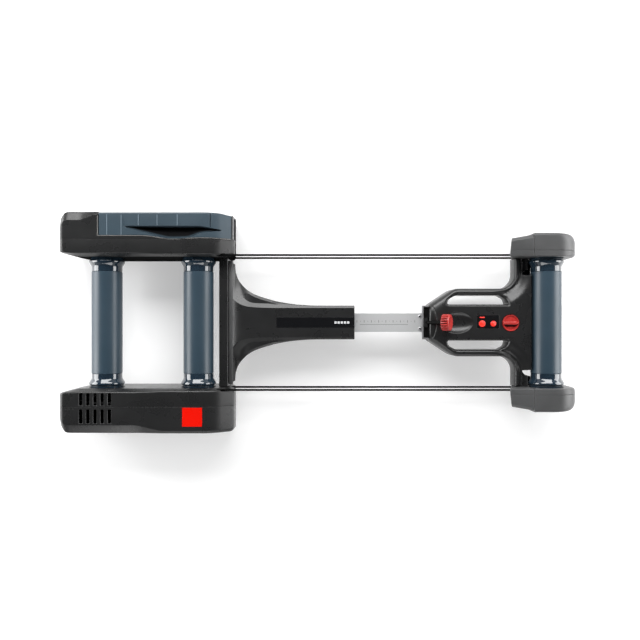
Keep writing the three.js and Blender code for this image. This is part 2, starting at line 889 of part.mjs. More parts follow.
const neckStations = neckShares.map(([share]) => neckStartX + neckLength * share);
const barTailX = neckEndX - barTailLength;
const neckHollowStartX = neckStartX + flangeThickness;
const neckHollowEndX = neckEndX - neckRibThickness;
const neckHollowStations = [neckHollowStartX,
  ...neckStations.filter((x) => x > neckHollowStartX + clearance && x < neckHollowEndX - clearance),
  neckHollowEndX];
const neckRibs = [barTailX - neckRibThickness / 2, neckEndX - barTailLength / 2].map((x) => boxBetween(
  x, x + neckRibThickness, -neckFlareHalfWidth, neckFlareHalfWidth, neckBottom - overrun, neckTop));
const neckHollow = neckRibs.reduce((room, rib) => room.subtract(rib),
  loft(neckHollowStations, neckHollowSection));
const stripRoom = boxBetween(neckEndX - stripLength - clearance, neckEndX + overrun,
  -stripWidth / 2 - clearance, stripWidth / 2 + clearance, neckTop - stripRecess, neckTop + overrun);
place('neck_shell', loft(neckStations, neckSection)
  .subtract(neckHollow)
  .subtract(barRoom(barTailX - clearance, neckEndX + overrun, clearance))
  .subtract(stripRoom), looks.casing);

function neckPlan(z0, z1) {
  const edge = neckStations.map((x) => [x, neckWidthsAt(x).outer - clearance]);
  const points = [...edge, ...edge.toReversed().map(([x, y]) => [x, -y])];
  return upright(new THREE.Shape(points.map(([x, y]) => new THREE.Vector2(x, y))), z0, z1);
}

place('neck_base', neckPlan(neckBottom - clearance - neckBase, neckBottom - clearance), looks.casing);
place('neck_strip', boxBetween(neckEndX - stripLength, neckEndX, -stripWidth / 2, stripWidth / 2,
  neckTop - stripRecess + clearance, neckTop - stripRecess + clearance + stripThickness), looks.gloss);

// Telescopic bar and its stop screws

const barEndX = collarStartX + barInHead;
place('telescopic_bar', barRoom(barTailX, barEndX, 0)
  .subtract(barRoom(barTailX - overrun, barEndX + overrun, -barWall)), looks.aluminium);

const barScrewX = collarStartX - barScrewBack;
[['left', -1], ['right', 1]].forEach(([side, sign]) => {
  place(`bar_screw_${side}`, roundUpright(barScrewRadius, barTop + clearance / 2,
    barTop + clearance / 2 + barScrewHeight, barScrewX, sign * barScrewY, screwSides), looks.steel);
});

function screwSlots(x0, x1) {
  const half = barScrewRadius + 2 * clearance;
  const high = barTop + barScrewHeight + 2 * clearance;
  const slot = boxBetween(x0, x1, barScrewY - half, barScrewY + half, barTop - overrun, high);
  return slot.add(boxBetween(x0, x1, -barScrewY - half, -barScrewY + half, barTop - overrun, high));
}

// Front head

function headCorners(inset) {
  const half = [
    [headStartX + inset, headStartHalfWidth - inset],
    [headStartX + shoulderLength + inset, shoulderHalfWidth - inset],
    [handleStartX, handleHalfWidth - inset, armSweep],
    [armBackX + inset, handleHalfWidth - inset, armSweep],
    [armBackX + inset, beamEndY - inset],
    [armFrontX - armNotch - inset, beamEndY - inset],
    [armFrontX - armNotch - inset, armNotchY - inset],
    [armFrontX - inset, armNotchY - armNotchSlant - inset],
  ];
  return [...half, ...half.toReversed().map(([x, y, radius = 0]) => [x, -y, radius])];
}

function handleHole(sign) {
  const end = handleHoleStartX + handleHoleLength;
  const corners = [
    [handleHoleStartX, sign * handleHoleInnerY, holeCorner],
    [end, sign * handleHoleInnerY, holeCorner],
    [end - handleHoleTaper, sign * handleHoleOuterY, holeOuterCorner],
    [handleHoleStartX + handleHoleTaper, sign * handleHoleOuterY, holeOuterCorner],
  ];
  return roundedShape(sign > 0 ? corners : corners.toReversed());
}

function makeHeadSolid() {
  const outline = roundedShape(headCorners(0));
  outline.holes.push(handleHole(1), handleHole(-1));
  const body = new THREE.ExtrudeGeometry(outline, {
    depth: headTop - headBottom - 2 * headRound,
    bevelEnabled: true,
    bevelThickness: headRound,
    bevelSize: headRound / 2,
    bevelOffset: -headRound / 2,
    bevelSegments: 2,
  });
  return solid(body.translate(0, 0, headBottom + headRound));
}

function makeHeadHollow(z0, z1) {
  const skinWall = headWall + headRound / 2;
  const coreY = handleHoleInnerY - headWall;
  const armY = beamEndY - skinWall;
  const core = boxBetween(headStartX + skinWall, armFrontX - skinWall, -coreY, coreY, z0, z1);
  return core.add(boxBetween(armBackX + skinWall, armFrontX - armNotch - skinWall, -armY, armY, z0, z1));
}

function onKnobAxis(geometry, along) {
  const turned = geometry.rotateZ(-Math.PI / 2).rotateY(-knobTilt);
  return turned.translate(
    knobX + along * Math.cos(knobTilt), 0, knobHeight + along * Math.sin(knobTilt));
}

function roundOnKnobAxis(radius, from, to, sides) {
  return onKnobAxis(new THREE.CylinderGeometry(radius, radius, to - from, sides), (from + to) / 2);
}

function scoopBowl(grow) {
  const bowl = new THREE.SphereGeometry(1, bowlSides, bowlSides / 2);
  bowl.scale(scoopLength / 2 + grow, scoopWidth / 2 + grow, scoopDepth + grow);
  return solid(bowl.translate(headStartX + scoopBack, 0, headTop));
}

const knobHalf = knobLength / 2;
const knobTroughLength = knobLength + scoopLength;
const knobTrough = (grow) => solid(roundOnKnobAxis(
  knobRadius + knobRoom + grow, -knobHalf - knobRoom - grow, knobTroughLength, drumEndSides));
const stemTipX = collarStartX + collarRim + 2 * clearance + stemRadius * Math.sin(knobTilt);
const stemTipAlong = (stemTipX - knobX) / Math.cos(knobTilt);
const stemRoom = solid(roundOnKnobAxis(
  stemRadius + clearance, stemTipAlong - overrun, 0, stemSides));

const headEndX = armFrontX + overrun;
const belowTop = boxBetween(headStartX + headWall, headEndX, -beamEndY, beamEndY,
  barTop + clearance, headTop - headWall / 2);
const scoopLining = scoopBowl(scoopWall).add(knobTrough(scoopWall)).intersect(belowTop);
const guides = [headStartX + headWall, headStartX + secondGuideBack].map((x) => boxBetween(
  x, x + guideThickness, -handleHoleInnerY + headWall, handleHoleInnerY - headWall, headParting, headTop));
const headHollowUpper = guides.reduce((room, guide) => room.subtract(guide),
  makeHeadHollow(headParting - overrun, headTop - headWall));
const headSolid = makeHeadSolid();
const upperHalf = boxBetween(headStartX - overrun, headEndX, -podOuterY, podOuterY,
  headParting, headTop + overrun);
const lowerHalf = boxBetween(headStartX - overrun, headEndX, -podOuterY, podOuterY,
  -overrun, headParting - clearance);
const panelRoom = boxBetween(panelStartX - clearance, panelStartX + panelLength + clearance,
  panelMiddleY - panelWidth / 2 - clearance, panelMiddleY + panelWidth / 2 + clearance,
  headTop - panelRecess, headTop + overrun);
const dialRoom = solid(roundUpright(
  dialRadius + 2 * clearance, headTop - dialRecess, headTop + overrun, dialX, dialY, drumSides));
const barTravelRoom = barRoom(headStartX - overrun, barEndX + slideIn + overrun, clearance)
  .add(screwSlots(headStartX - overrun, barScrewX + slideIn + 2 * overrun));
place('head_shell', headSolid
  .intersect(upperHalf)
  .subtract(headHollowUpper)
  .add(scoopLining)
  .subtract(scoopBowl(0))
  .subtract(knobTrough(0))
  .subtract(stemRoom)
  .subtract(barTravelRoom)
  .subtract(panelRoom)
  .subtract(dialRoom), looks.casing);
place('head_base', headSolid
  .intersect(lowerHalf)
  .subtract(makeHeadHollow(headBottom + headWall, headParting + overrun)), looks.casing);

// Collar

const collarEndX = collarStartX + collarLength;
const shoeStartX = collarStartX + collarRim + clearance;
const shoeRoom = boxBetween(shoeStartX - clearance, collarEndX + overrun,
  -shoeHalfWidth - clearance, shoeHalfWidth + clearance, barTop - overrun, collarTop + overrun);
place('collar', boxBetween(collarStartX, collarEndX, -headStartHalfWidth, headStartHalfWidth,
  collarBottom, collarTop)
  .subtract(barRoom(collarStartX - overrun, collarEndX + overrun, clearance))
  .subtract(screwSlots(collarStartX - overrun, collarEndX + overrun))
  .subtract(boxBetween(collarStartX + collarRim, collarEndX + overrun,
    -headStartHalfWidth + collarRim, headStartHalfWidth - collarRim, collarFloor, collarTop + overrun))
  .subtract(shoeRoom), looks.cap);

// Clamp knob and shoe

function knobOutline() {
  const points = [];
  const steps = knobRibPoints * knobRibs;
  for (let step = 0; step < steps; step += 1) {
    const angle = (2 * Math.PI * step) / steps;
    const radius = step % knobRibPoints === 0 ? knobRadius - knobRibDepth : knobRadius;
    points.push(new THREE.Vector2(radius * Math.cos(angle), radius * Math.sin(angle)));
  }
  return new THREE.Shape(points);
}

const knobBody = new THREE.ExtrudeGeometry(knobOutline(), { depth: knobLength, bevelEnabled: false })
  .translate(0, 0, -knobHalf)
  .rotateX(-Math.PI / 2);
const stemBody = roundOnKnobAxis(stemRadius, stemTipAlong, 0, stemSides);
place('clamp_knob', solid(onKnobAxis(knobBody, 0)).add(solid(stemBody)), looks.red);

const shoe = boxBetween(shoeStartX, shoeStartX + shoeLength, -shoeHalfWidth, shoeHalfWidth,
  barTop + clearance, barTop + clearance + shoeHeight);
place('clamp_shoe', shoe.subtract(stemRoom), looks.steel);

// Control panel, lights and dial

const panelSeat = headTop - panelRecess + clearance;
const panelTop = panelSeat + panelThickness;
place('control_panel', boxBetween(panelStartX, panelStartX + panelLength,
  panelMiddleY - panelWidth / 2, panelMiddleY + panelWidth / 2, panelSeat, panelTop), looks.gloss);
const roundLights = [
  ['back', lightBackX, lightBackRadius],
  ['front', panelStartX + lightFrontInset, lightFrontRadius],
];
roundLights.forEach(([side, x, radius]) => {
  place(`round_light_${side}`, roundUpright(radius, panelTop + clearance,
    panelTop + clearance + lightHeight, x, lightY, drumEndSides), looks.light);
});
place('bar_light', boxBetween(lightBackX - barLightLength / 2, lightBackX + barLightLength / 2,
  barLightY - barLightWidth / 2, barLightY + barLightWidth / 2,
  panelTop + clearance, panelTop + clearance + lightHeight), looks.light);

function makeDial() {
  const seat = headTop - dialRecess + clearance;
  const disc = solid(roundUpright(dialRadius, seat, seat + dialThickness, dialX, dialY, drumSides));
  const half = dialGripWidth / 2;
  const grip = new THREE.Shape([
    new THREE.Vector2(dialX - dialRadius + clearance, dialY - half),
    new THREE.Vector2(dialX + dialRadius - dialGripPoint, dialY - half),
    new THREE.Vector2(dialX + dialRadius - clearance, dialY),
    new THREE.Vector2(dialX + dialRadius - dialGripPoint, dialY + half),
    new THREE.Vector2(dialX - dialRadius + clearance, dialY + half),
  ]);
  const rounded = solid(roundUpright(dialRadius - clearance, seat, seat + 2 * dialGripHeight,
    dialX, dialY, drumSides));
  return disc.add(solid(upright(grip, seat + clearance, seat + dialGripHeight)).intersect(rounded));
}

place('lock_dial', makeDial(), looks.red);

// Front end housings: a tapering arm end and a round cap on each side

function armEndSection(x, inset) {
  const share = (x - armEndBackX) / (capSeamX - armEndBackX);
  const outer = THREE.MathUtils.lerp(armEndRearY, armEndFrontY, share) - inset;
  const top = THREE.MathUtils.lerp(armEndTop, capTop, share) - inset;
  const low = footHeight + inset;
  const inner = innerFaceY + Math.min(inset, shellWall - clearance);
  return [
    [inner, low],
    [outer - podLowChamfer, low],
    [outer, low + podLowChamfer],
    [outer, top - capChamfer],
    [outer - capChamfer, top],
    [inner, top],
  ];
}

const armEndFrontX = capSeamX - clearance;
const armEnd = loft([armEndBackX, armEndFrontX], (x) => armEndSection(x, 0))
  .subtract(loft([armEndBackX + shellWall, armEndFrontX + overrun], (x) => armEndSection(x, shellWall)))
  .subtract(beltSlots(armEndBackX - overrun, armEndBackX + shellWall + overrun));
placePair('arm_end', armEnd, looks.cap);

function capShape(inset) {
  const back = capSeamX - 2 * overrun;
  const front = frontDrumDistance + capReach - inset;
  return roundedShape([
    [back, footHeight + inset],
    [front, footHeight + inset, capLowRound - inset],
    [front, capTop - inset, capTopRound - inset],
    [back, capTop - inset],
  ]);
}

const capSolid = solid(new THREE.ExtrudeGeometry(capShape(0), {
  depth: capOuterY - innerFaceY - 2 * capEdge,
  bevelEnabled: true,
  bevelThickness: capEdge,
  bevelSize: capEdge,
  bevelOffset: -capEdge,
  bevelSegments: 2,
}).rotateX(Math.PI / 2).translate(0, capOuterY - capEdge, 0));

function capPlan(inset) {
  const back = capSeamX - 2 * overrun;
  const front = frontDrumDistance + capReach - inset;
  return solid(upright(roundedShape([
    [back, innerFaceY - overrun],
    [front, innerFaceY + inset, capInnerCorner - inset],
    [front, capOuterY - inset, capOuterCorner - inset],
    [back, capOuterY - inset],
  ]), 0, capTop + overrun));
}

const capHollow = solid(sideways(capShape(shellWall + capEdge / 2),
  innerFaceY + shellWall - clearance, capOuterY - shellWall))
  .intersect(capPlan(shellWall));

const capEndX = frontDrumDistance + capReach + overrun;
const hubHole = solid(roundAcross(hubHoleRadius, innerFaceY - overrun, innerFaceY + 2 * shellWall,
  frontDrumDistance, axleHeight, drumEndSides));
const pinHole = solid(roundAcross(axleRadius + axleOverhang / 2, bearingY - overrun,
  bearingY + bearingWidth + 2 * axleOverhang, frontDrumDistance, axleHeight, bearingSides));
const bearingPocket = solid(roundAcross(bearingOuterRadius + clearance, bearingY - overrun,
  bearingY + bearingWidth + clearance, frontDrumDistance, axleHeight, bearingSides));
const capBoss = solid(roundAcross(bearingOuterRadius + bossWall, bearingY, capOuterY - shellWall / 2,
  frontDrumDistance, axleHeight, bearingSides));
const endCap = capSolid
  .intersect(capPlan(0))
  .intersect(boxBetween(capSeamX, capEndX, 0, capOuterY + overrun, -overrun, capTop + overrun))
  .subtract(capHollow)
  .add(capBoss)
  .subtract(bearingPocket)
  .subtract(pinHole)
  .subtract(hubHole)
  .subtract(beltSlots(capSeamX - overrun, frontDrumDistance));
placePair('end_cap', endCap, looks.cap);

// Magnet yoke and step motor beside the brake disc

const yokeX = -rearDrumSpacing + discRadius - yokeReach;
const yokeY0 = plateY + plateThickness + clearance;
const yokeY1 = discY + discThickness + yokeGap + yokeCheek;
const yoke = boxBetween(yokeX, yokeX + yokeLength, yokeY0, yokeY1,
  axleHeight - yokeHeight / 2, axleHeight + yokeHeight / 2)
  .subtract(boxBetween(yokeX - overrun, yokeX + yokeReach + yokeGap,
    discY - yokeGap, discY + discThickness + yokeGap, 0, housingTop));
place('magnet_yoke', mirrored(geometryOf(yoke)), looks.steel);

const motorX = yokeX + yokeLength + yokeTravel + 2 * clearance;
const motorY = plateY + plateThickness + clearance + motorRadius;
const motor = solid(new THREE.CylinderGeometry(motorRadius, motorRadius, motorLength, bearingSides)
  .rotateZ(Math.PI / 2)
  .translate(motorX + motorLength / 2, motorY, axleHeight));
place('step_motor', mirrored(geometryOf(motor)), looks.iron);

// Circuit board and power socket

const boardY = plateY + plateThickness + clearance;
let circuitBoard = boxBetween(boardMiddleX - boardLength / 2, boardMiddleX + boardLength / 2,
  boardY, boardY + boardThickness, axleHeight - boardHeight / 2, axleHeight + boardHeight / 2);
[-1, 0, 1].forEach((column) => {
  const x = boardMiddleX + column * boardLength * chipSpreadShare;
  const z = axleHeight + column * boardHeight * chipRiseShare;
  circuitBoard = circuitBoard.add(boxBetween(x - chipSize / 2, x + chipSize / 2,
    boardY + boardThickness / 2, boardY + boardThickness + chipHeight, z - chipSize / 2, z + chipSize / 2));
});
place('circuit_board', circuitBoard, looks.board);

const socket = new THREE.LatheGeometry([
  new THREE.Vector2(0, 0),
  new THREE.Vector2(socketRadius, 0),
  new THREE.Vector2(socketRadius, socketLength),
  new THREE.Vector2(socketHole, socketLength),
  new THREE.Vector2(socketHole, socketLength - socketDepth),
  new THREE.Vector2(0, socketLength - socketDepth),
], screwSides).rotateZ(Math.PI / 2);
place('power_socket', geometryOf(solid(socket)), looks.iron,
  new THREE.Vector3(podStartX + socketLength - socketFlange, socketY, socketHeight));

// Feet

function makeFoot(length, width) {
  return upright(roundedShape([
    [-length / 2, -width / 2, footCorner],
    [length / 2, -width / 2, footCorner],
    [length / 2, width / 2, footCorner],
    [-length / 2, width / 2, footCorner],
  ]), 0, footHeight - clearance);
}

const rearFoot = makeFoot(rearFootLength, rearFootWidth);
const rearFootY = (podSeamY + podOuterY) / 2 - podLowChamfer;
placePair('rear_foot', rearFoot, looks.rubber, new THREE.Vector3(podStartX + rearFootInset, rearFootY, 0));
placePair('middle_foot', rearFoot, looks.rubber, new THREE.Vector3(podFrontX - rearFootInset, rearFootY, 0));
const frontFootY = (bearingY + capOuterY) / 2;
placePair('front_foot', makeFoot(frontFootLength, frontFootWidth), looks.rubber,
  new THREE.Vector3(frontDrumDistance - capEdge, frontFootY, 0));

// The middle of the footprint becomes the origin

const footprint = new THREE.Box3().setFromObject(rollers);
const middle = footprint.getCenter(new THREE.Vector3());
rollers.position.set(-middle.x, -middle.y, -footprint.min.z);
rollers.updateMatrixWorld(true);

export default rollers;
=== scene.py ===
# %% [markdown]
# # Bike rollers in Blender
# A rider balances on three drums: two under the rear wheel, held by a pod on each side, and one under the
# front wheel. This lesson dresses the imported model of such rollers. It goes from the frame to light,
# finishes and then one piece after another, so that each cell adds something that can be seen.

# %% [markdown]
# ## The frame
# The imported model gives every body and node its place. Nothing is moved here: each finer piece is built
# where its node stands, and takes its sizes from that node's box.

import json
import math

import bmesh
import bpy
import numpy as np
from mathutils import Matrix, Vector
from mathutils.geometry import delaunay_2d_cdt


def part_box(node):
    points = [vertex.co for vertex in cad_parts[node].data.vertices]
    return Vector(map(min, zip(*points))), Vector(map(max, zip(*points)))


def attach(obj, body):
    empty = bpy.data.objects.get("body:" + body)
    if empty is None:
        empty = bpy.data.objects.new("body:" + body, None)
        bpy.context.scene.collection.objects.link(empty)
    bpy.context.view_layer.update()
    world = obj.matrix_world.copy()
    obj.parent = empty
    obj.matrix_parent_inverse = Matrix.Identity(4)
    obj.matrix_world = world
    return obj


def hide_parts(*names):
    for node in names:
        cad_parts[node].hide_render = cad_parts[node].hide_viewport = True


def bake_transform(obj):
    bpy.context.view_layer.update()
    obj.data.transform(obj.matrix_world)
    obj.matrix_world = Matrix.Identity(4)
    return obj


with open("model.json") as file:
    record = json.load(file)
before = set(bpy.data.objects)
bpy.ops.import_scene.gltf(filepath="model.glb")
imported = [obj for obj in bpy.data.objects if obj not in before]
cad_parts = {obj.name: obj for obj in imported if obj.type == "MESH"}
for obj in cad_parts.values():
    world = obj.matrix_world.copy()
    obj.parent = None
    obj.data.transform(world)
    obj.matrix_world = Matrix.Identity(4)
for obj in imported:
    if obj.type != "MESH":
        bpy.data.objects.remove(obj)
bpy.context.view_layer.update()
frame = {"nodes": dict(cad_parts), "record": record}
record = frame["record"]
MM = 0.001
body_of = {node: body for body, nodes in record["behaviour"]["bodies"].items() for node in nodes}
slot_of = {row["node"]: row["material_slot"] for row in record["subparts"]}

# %% [markdown]
# ## Camera
# The product is photographed from straight above, from about the height of a studio ceiling, so the camera
# looks down and its picture's up is +Y. The lens follows from how fast upright walls lean outwards there.

# %% Camera
IMAGE_WIDTH = 640
SENSOR_WIDTH = 36
FOCAL_PIXELS = 656
CAMERA_HEIGHT = 1800 * MM
CAMERA_X = -0.5 * MM
VIEW_SHIFT_PIXELS = 2.5


def add_object(name, data):
    thing = bpy.data.objects.new(name, data)
    bpy.context.scene.collection.objects.link(thing)
    return thing


camera_data = bpy.data.cameras.new("camera")
camera_data.sensor_width = SENSOR_WIDTH
camera_data.lens = SENSOR_WIDTH * FOCAL_PIXELS / IMAGE_WIDTH
camera_data.shift_y = VIEW_SHIFT_PIXELS / IMAGE_WIDTH
camera = add_object("camera", camera_data)
camera.location = (CAMERA_X, 0, CAMERA_HEIGHT)
bpy.context.scene.camera = camera
bpy.context.scene.view_settings.view_transform = "Standard"
print("camera lens:", round(camera_data.lens, 2), "mm")

# %% [markdown]
# ## Shader helpers
# Every finish below is a small tree of nodes. A few helpers keep them short: they add a node with its values,
# make a new material, lay noise on a piece, and let its tone, its gloss or its height follow that noise.

# %% Shader helpers
def add_node(tree, kind, values=None, **settings):
    node = tree.nodes.new(kind)
    for key, value in settings.items():
        setattr(node, key, value)
    for socket, value in (values or {}).items():
        node.inputs[socket].default_value = value
    return node


def new_material(name, roughness, metallic=0.0):
    material = bpy.data.materials.new(name)
    material.use_nodes = True
    tree = material.node_tree
    shader = tree.nodes["Principled BSDF"]
    shader.inputs["Roughness"].default_value = roughness
    shader.inputs["Metallic"].default_value = metallic
    return material, tree, shader


def object_noise(tree, scale, detail=3.0, stretch=None):
    """Noise on the piece's own coordinates; stretch squeezes it along an axis into streaks."""
    noise = add_node(tree, "ShaderNodeTexNoise", {"Scale": scale, "Detail": detail})
    coordinates = add_node(tree, "ShaderNodeTexCoord")
    source = coordinates.outputs["Object"]
    if stretch is not None:
        mapping = add_node(tree, "ShaderNodeMapping", {"Scale": stretch})
        tree.links.new(source, mapping.inputs["Vector"])
        source = mapping.outputs["Vector"]
    tree.links.new(source, noise.inputs["Vector"])
    return noise


def colour_between(tree, shader, driver, dark, light):
    """The base colour wanders between two tones as the driver goes from low to high."""
    ramp = add_node(tree, "ShaderNodeValToRGB")
    ramp.color_ramp.elements[0].position = 0.35
    ramp.color_ramp.elements[0].color = (*dark, 1)
    ramp.color_ramp.elements[1].position = 0.65
    ramp.color_ramp.elements[1].color = (*light, 1)
    tree.links.new(driver.outputs["Fac"], ramp.inputs["Fac"])
    tree.links.new(ramp.outputs["Color"], shader.inputs["Base Color"])
    return ramp


def value_between(tree, shader, socket, driver, low, high):
    spread = add_node(tree, "ShaderNodeMapRange", {
        "From Min": 0.3, "From Max": 0.7, "To Min": low, "To Max": high})
    tree.links.new(driver.outputs["Fac"], spread.inputs["Value"])
    tree.links.new(spread.outputs["Result"], shader.inputs[socket])


def raise_surface(tree, shader, driver, strength, distance, before=None):
    bump = add_node(tree, "ShaderNodeBump", {"Strength": strength, "Distance": distance})
    tree.links.new(driver, bump.inputs["Height"])
    if before is not None:
        tree.links.new(before.outputs["Normal"], bump.inputs["Normal"])
    tree.links.new(bump.outputs["Normal"], shader.inputs["Normal"])
    return bump

# %% [markdown]
# ## Floor
# The product stands on white paper. Enough lamp light to make paper white would bleach the product, so the
# paper also glows a little. Only the camera, reflections and glass see that glow, so it lights nothing and
# the shadow stays. It grows away from the product, where the lamps fall off.

# %% Floor
FLOOR_HALF = 4.0
FLOOR_DROP = 0.3 * MM
PAPER_TONE = 0.69
PAPER_GLOW = (0.38, 0.8)
GLOW_FROM, GLOW_TO = 0.6, 1.1


def math_node(tree, operation, first, second):
    node = add_node(tree, "ShaderNodeMath", operation=operation)
    tree.links.new(first, node.inputs[0])
    tree.links.new(second, node.inputs[1])
    return node.outputs[0]


def seen_directly(tree):
    """1 for rays from the camera, from a reflection or through glass, and 0 for all others."""
    path = add_node(tree, "ShaderNodeLightPath")
    seen = math_node(tree, "MAXIMUM", path.outputs["Is Camera Ray"], path.outputs["Is Glossy Ray"])
    return math_node(tree, "MAXIMUM", seen, path.outputs["Is Transmission Ray"])


def make_paper():
    paper, tree, shader = new_material("paper", 0.9)
    fibres = object_noise(tree, 900)
    colour_between(tree, shader, fibres, (PAPER_TONE * 0.985,) * 3, (PAPER_TONE,) * 3)
    shader.inputs["Specular IOR Level"].default_value = 0.0
    glow = add_node(tree, "ShaderNodeEmission", {"Color": (1, 1, 1, 1)})
    place = add_node(tree, "ShaderNodeTexCoord")
    reach = add_node(tree, "ShaderNodeVectorMath", operation="LENGTH")
    tree.links.new(place.outputs["Object"], reach.inputs[0])
    outwards = add_node(tree, "ShaderNodeMapRange", {
        "From Min": GLOW_FROM, "From Max": GLOW_TO, "To Min": PAPER_GLOW[0], "To Max": PAPER_GLOW[1]})
    tree.links.new(reach.outputs["Value"], outwards.inputs["Value"])
    strength = math_node(tree, "MULTIPLY", seen_directly(tree), outwards.outputs["Result"])
    tree.links.new(strength, glow.inputs["Strength"])
    both = add_node(tree, "ShaderNodeAddShader")
    tree.links.new(shader.outputs[0], both.inputs[0])
    tree.links.new(glow.outputs[0], both.inputs[1])
    tree.links.new(both.outputs[0], tree.nodes["Material Output"].inputs["Surface"])
    return paper


floor_mesh = bpy.data.meshes.new("floor")
floor_mesh.from_pydata(
    [(x * FLOOR_HALF, y * FLOOR_HALF, -FLOOR_DROP) for x, y in ((-1, -1), (1, -1), (1, 1), (-1, 1))],
    [], [(0, 1, 2, 3)])
floor = add_object("floor", floor_mesh)
floor_mesh.materials.append(make_paper())
print("floor:", 2 * FLOOR_HALF, "m wide")

# %% [markdown]
# ## World
# The room round the product is grey at the horizon and nearly black overhead. Flat tops mirror what is above
# them, so a dark sky is what keeps black plastic black.

# %% World
SKY_TOP = (0.03, 0.031, 0.033, 1)
SKY_RIM = (0.9, 0.9, 0.9, 1)
SKY_STRENGTH = 0.8

world = bpy.data.worlds.new("studio")
world.use_nodes = True
bpy.context.scene.world = world
sky = world.node_tree
background = sky.nodes["Background"]
background.inputs["Strength"].default_value = SKY_STRENGTH
heights = add_node(sky, "ShaderNodeSeparateXYZ")
directions = add_node(sky, "ShaderNodeTexCoord")
sky.links.new(directions.outputs["Generated"], heights.inputs[0])
sky_ramp = add_node(sky, "ShaderNodeValToRGB")
sky_ramp.color_ramp.elements[0].position = 0.05
sky_ramp.color_ramp.elements[0].color = SKY_RIM
sky_ramp.color_ramp.elements[1].position = 0.6
sky_ramp.color_ramp.elements[1].color = SKY_TOP
sky.links.new(heights.outputs["Z"], sky_ramp.inputs["Fac"])
sky.links.new(sky_ramp.outputs["Color"], background.inputs["Color"])
print("sky strength:", SKY_STRENGTH)

# %% [markdown]
# ## Lamps
# A long softbox behind the +Y side makes edges that face +Y gleam and lets soft shadows fall to -Y. Two low,
# broad ones at the ends put the long gleams on the round drums, and a weak one in front lifts the slopes that
# face -Y. Nothing shines from straight above.

# %% Lamps
AIM = Vector((0, 0, 80 * MM))


def softbox(name, place, width, height, power):
    lamp_data = bpy.data.lights.new(name, "AREA")
    lamp_data.shape = "RECTANGLE"
    lamp_data.size = width
    lamp_data.size_y = height
    lamp_data.energy = power
    lamp = add_object(name, lamp_data)
    lamp.location = place
    lamp.rotation_euler = (AIM - Vector(place)).to_track_quat("-Z", "Y").to_euler()


softbox("key", (0, 2.1, 2.0), 3.6, 1.3, 116)
softbox("left_end", (-2.4, 0.2, 0.75), 2.4, 1.4, 70)
softbox("right_end", (2.4, 0.2, 0.75), 2.4, 1.4, 58)
softbox("near_fill", (0, -2.6, 1.3), 3.0, 0.8, 22)
print("lamps:", len(bpy.data.lights))

# %% [markdown]
# ## Finishes
# Nearly everything is moulded plastic. Spark-eroded moulds leave a fine grain on it, the tone drifts a little
# over a large part, and handling polishes it in patches. One function makes all these plastics, and each call
# gives the tone, the gloss and the grain of one part.

# %% Moulded plastics
def moulded_plastic(name, tone, roughness, grain_scale, grain_depth, drift=0.12, gloss=0.2):
    material, tree, shader = new_material(name, roughness)
    patches = object_noise(tree, 9, 4)
    dark = tuple(channel * (1 - drift) for channel in tone)
    light = tuple(channel * (1 + drift) for channel in tone)
    colour_between(tree, shader, patches, dark, light)
    handled = object_noise(tree, 23, 5)
    value_between(tree, shader, "Roughness", handled, roughness * 0.86, min(1.0, roughness * 1.14))
    grain = object_noise(tree, grain_scale, 2)
    fine = raise_surface(tree, shader, grain.outputs["Fac"], 0.5, grain_depth)
    sink = object_noise(tree, 14, 1)
    raise_surface(tree, shader, sink.outputs["Fac"], 0.25, 0.05 * MM, fine)
    shader.inputs["Specular IOR Level"].default_value = gloss
    return material


CASING = ((0.0145, 0.0147, 0.015), 0.29, 1400, 0.015 * MM)
casing_plastic = moulded_plastic("casing_plastic", *CASING, gloss=0.5)
cap_plastic = moulded_plastic("cap_plastic", (0.07, 0.071, 0.072), 0.36, 1400, 0.03 * MM, gloss=0.4)
cover_plastic = moulded_plastic(
    "cover_plastic", (0.041, 0.062, 0.079), 0.34, 1500, 0.03 * MM, 0.06, gloss=0.35)
red_plastic = moulded_plastic("red_plastic", (0.42, 0.032, 0.028), 0.28, 1600, 0.02 * MM, 0.05, gloss=0.5)
dark_gloss = moulded_plastic("dark_gloss", (0.006, 0.0062, 0.007), 0.14, 900, 0.004 * MM, gloss=0.5)
foot_rubber = moulded_plastic("foot_rubber", (0.014, 0.014, 0.014), 0.85, 2200, 0.08 * MM)
belt_rubber = moulded_plastic("belt_rubber", (0.003, 0.003, 0.003), 0.8, 2600, 0.02 * MM, gloss=0.05)
board_green = moulded_plastic("board_green", (0.02, 0.09, 0.045), 0.35, 700, 0.02 * MM)
plate_red = moulded_plastic("plate_red", (0.7, 0.007, 0.0025), 0.3, 1200, 0.008 * MM, 0.02, gloss=0.08)
print("plastics:", len(bpy.data.materials))

# %% [markdown]
# ## Drum finishes
# The running surface is a satin blue-grey sleeve. Turning leaves hair-fine rings on it and tyres dull its
# middle. The flared ends are polished, so they show the softboxes as white streaks.

# %% Drum finishes
SLEEVE_TONE = (0.026, 0.047, 0.066)
RING_SCALE = 70
TYRE_TRACK = 90 * MM


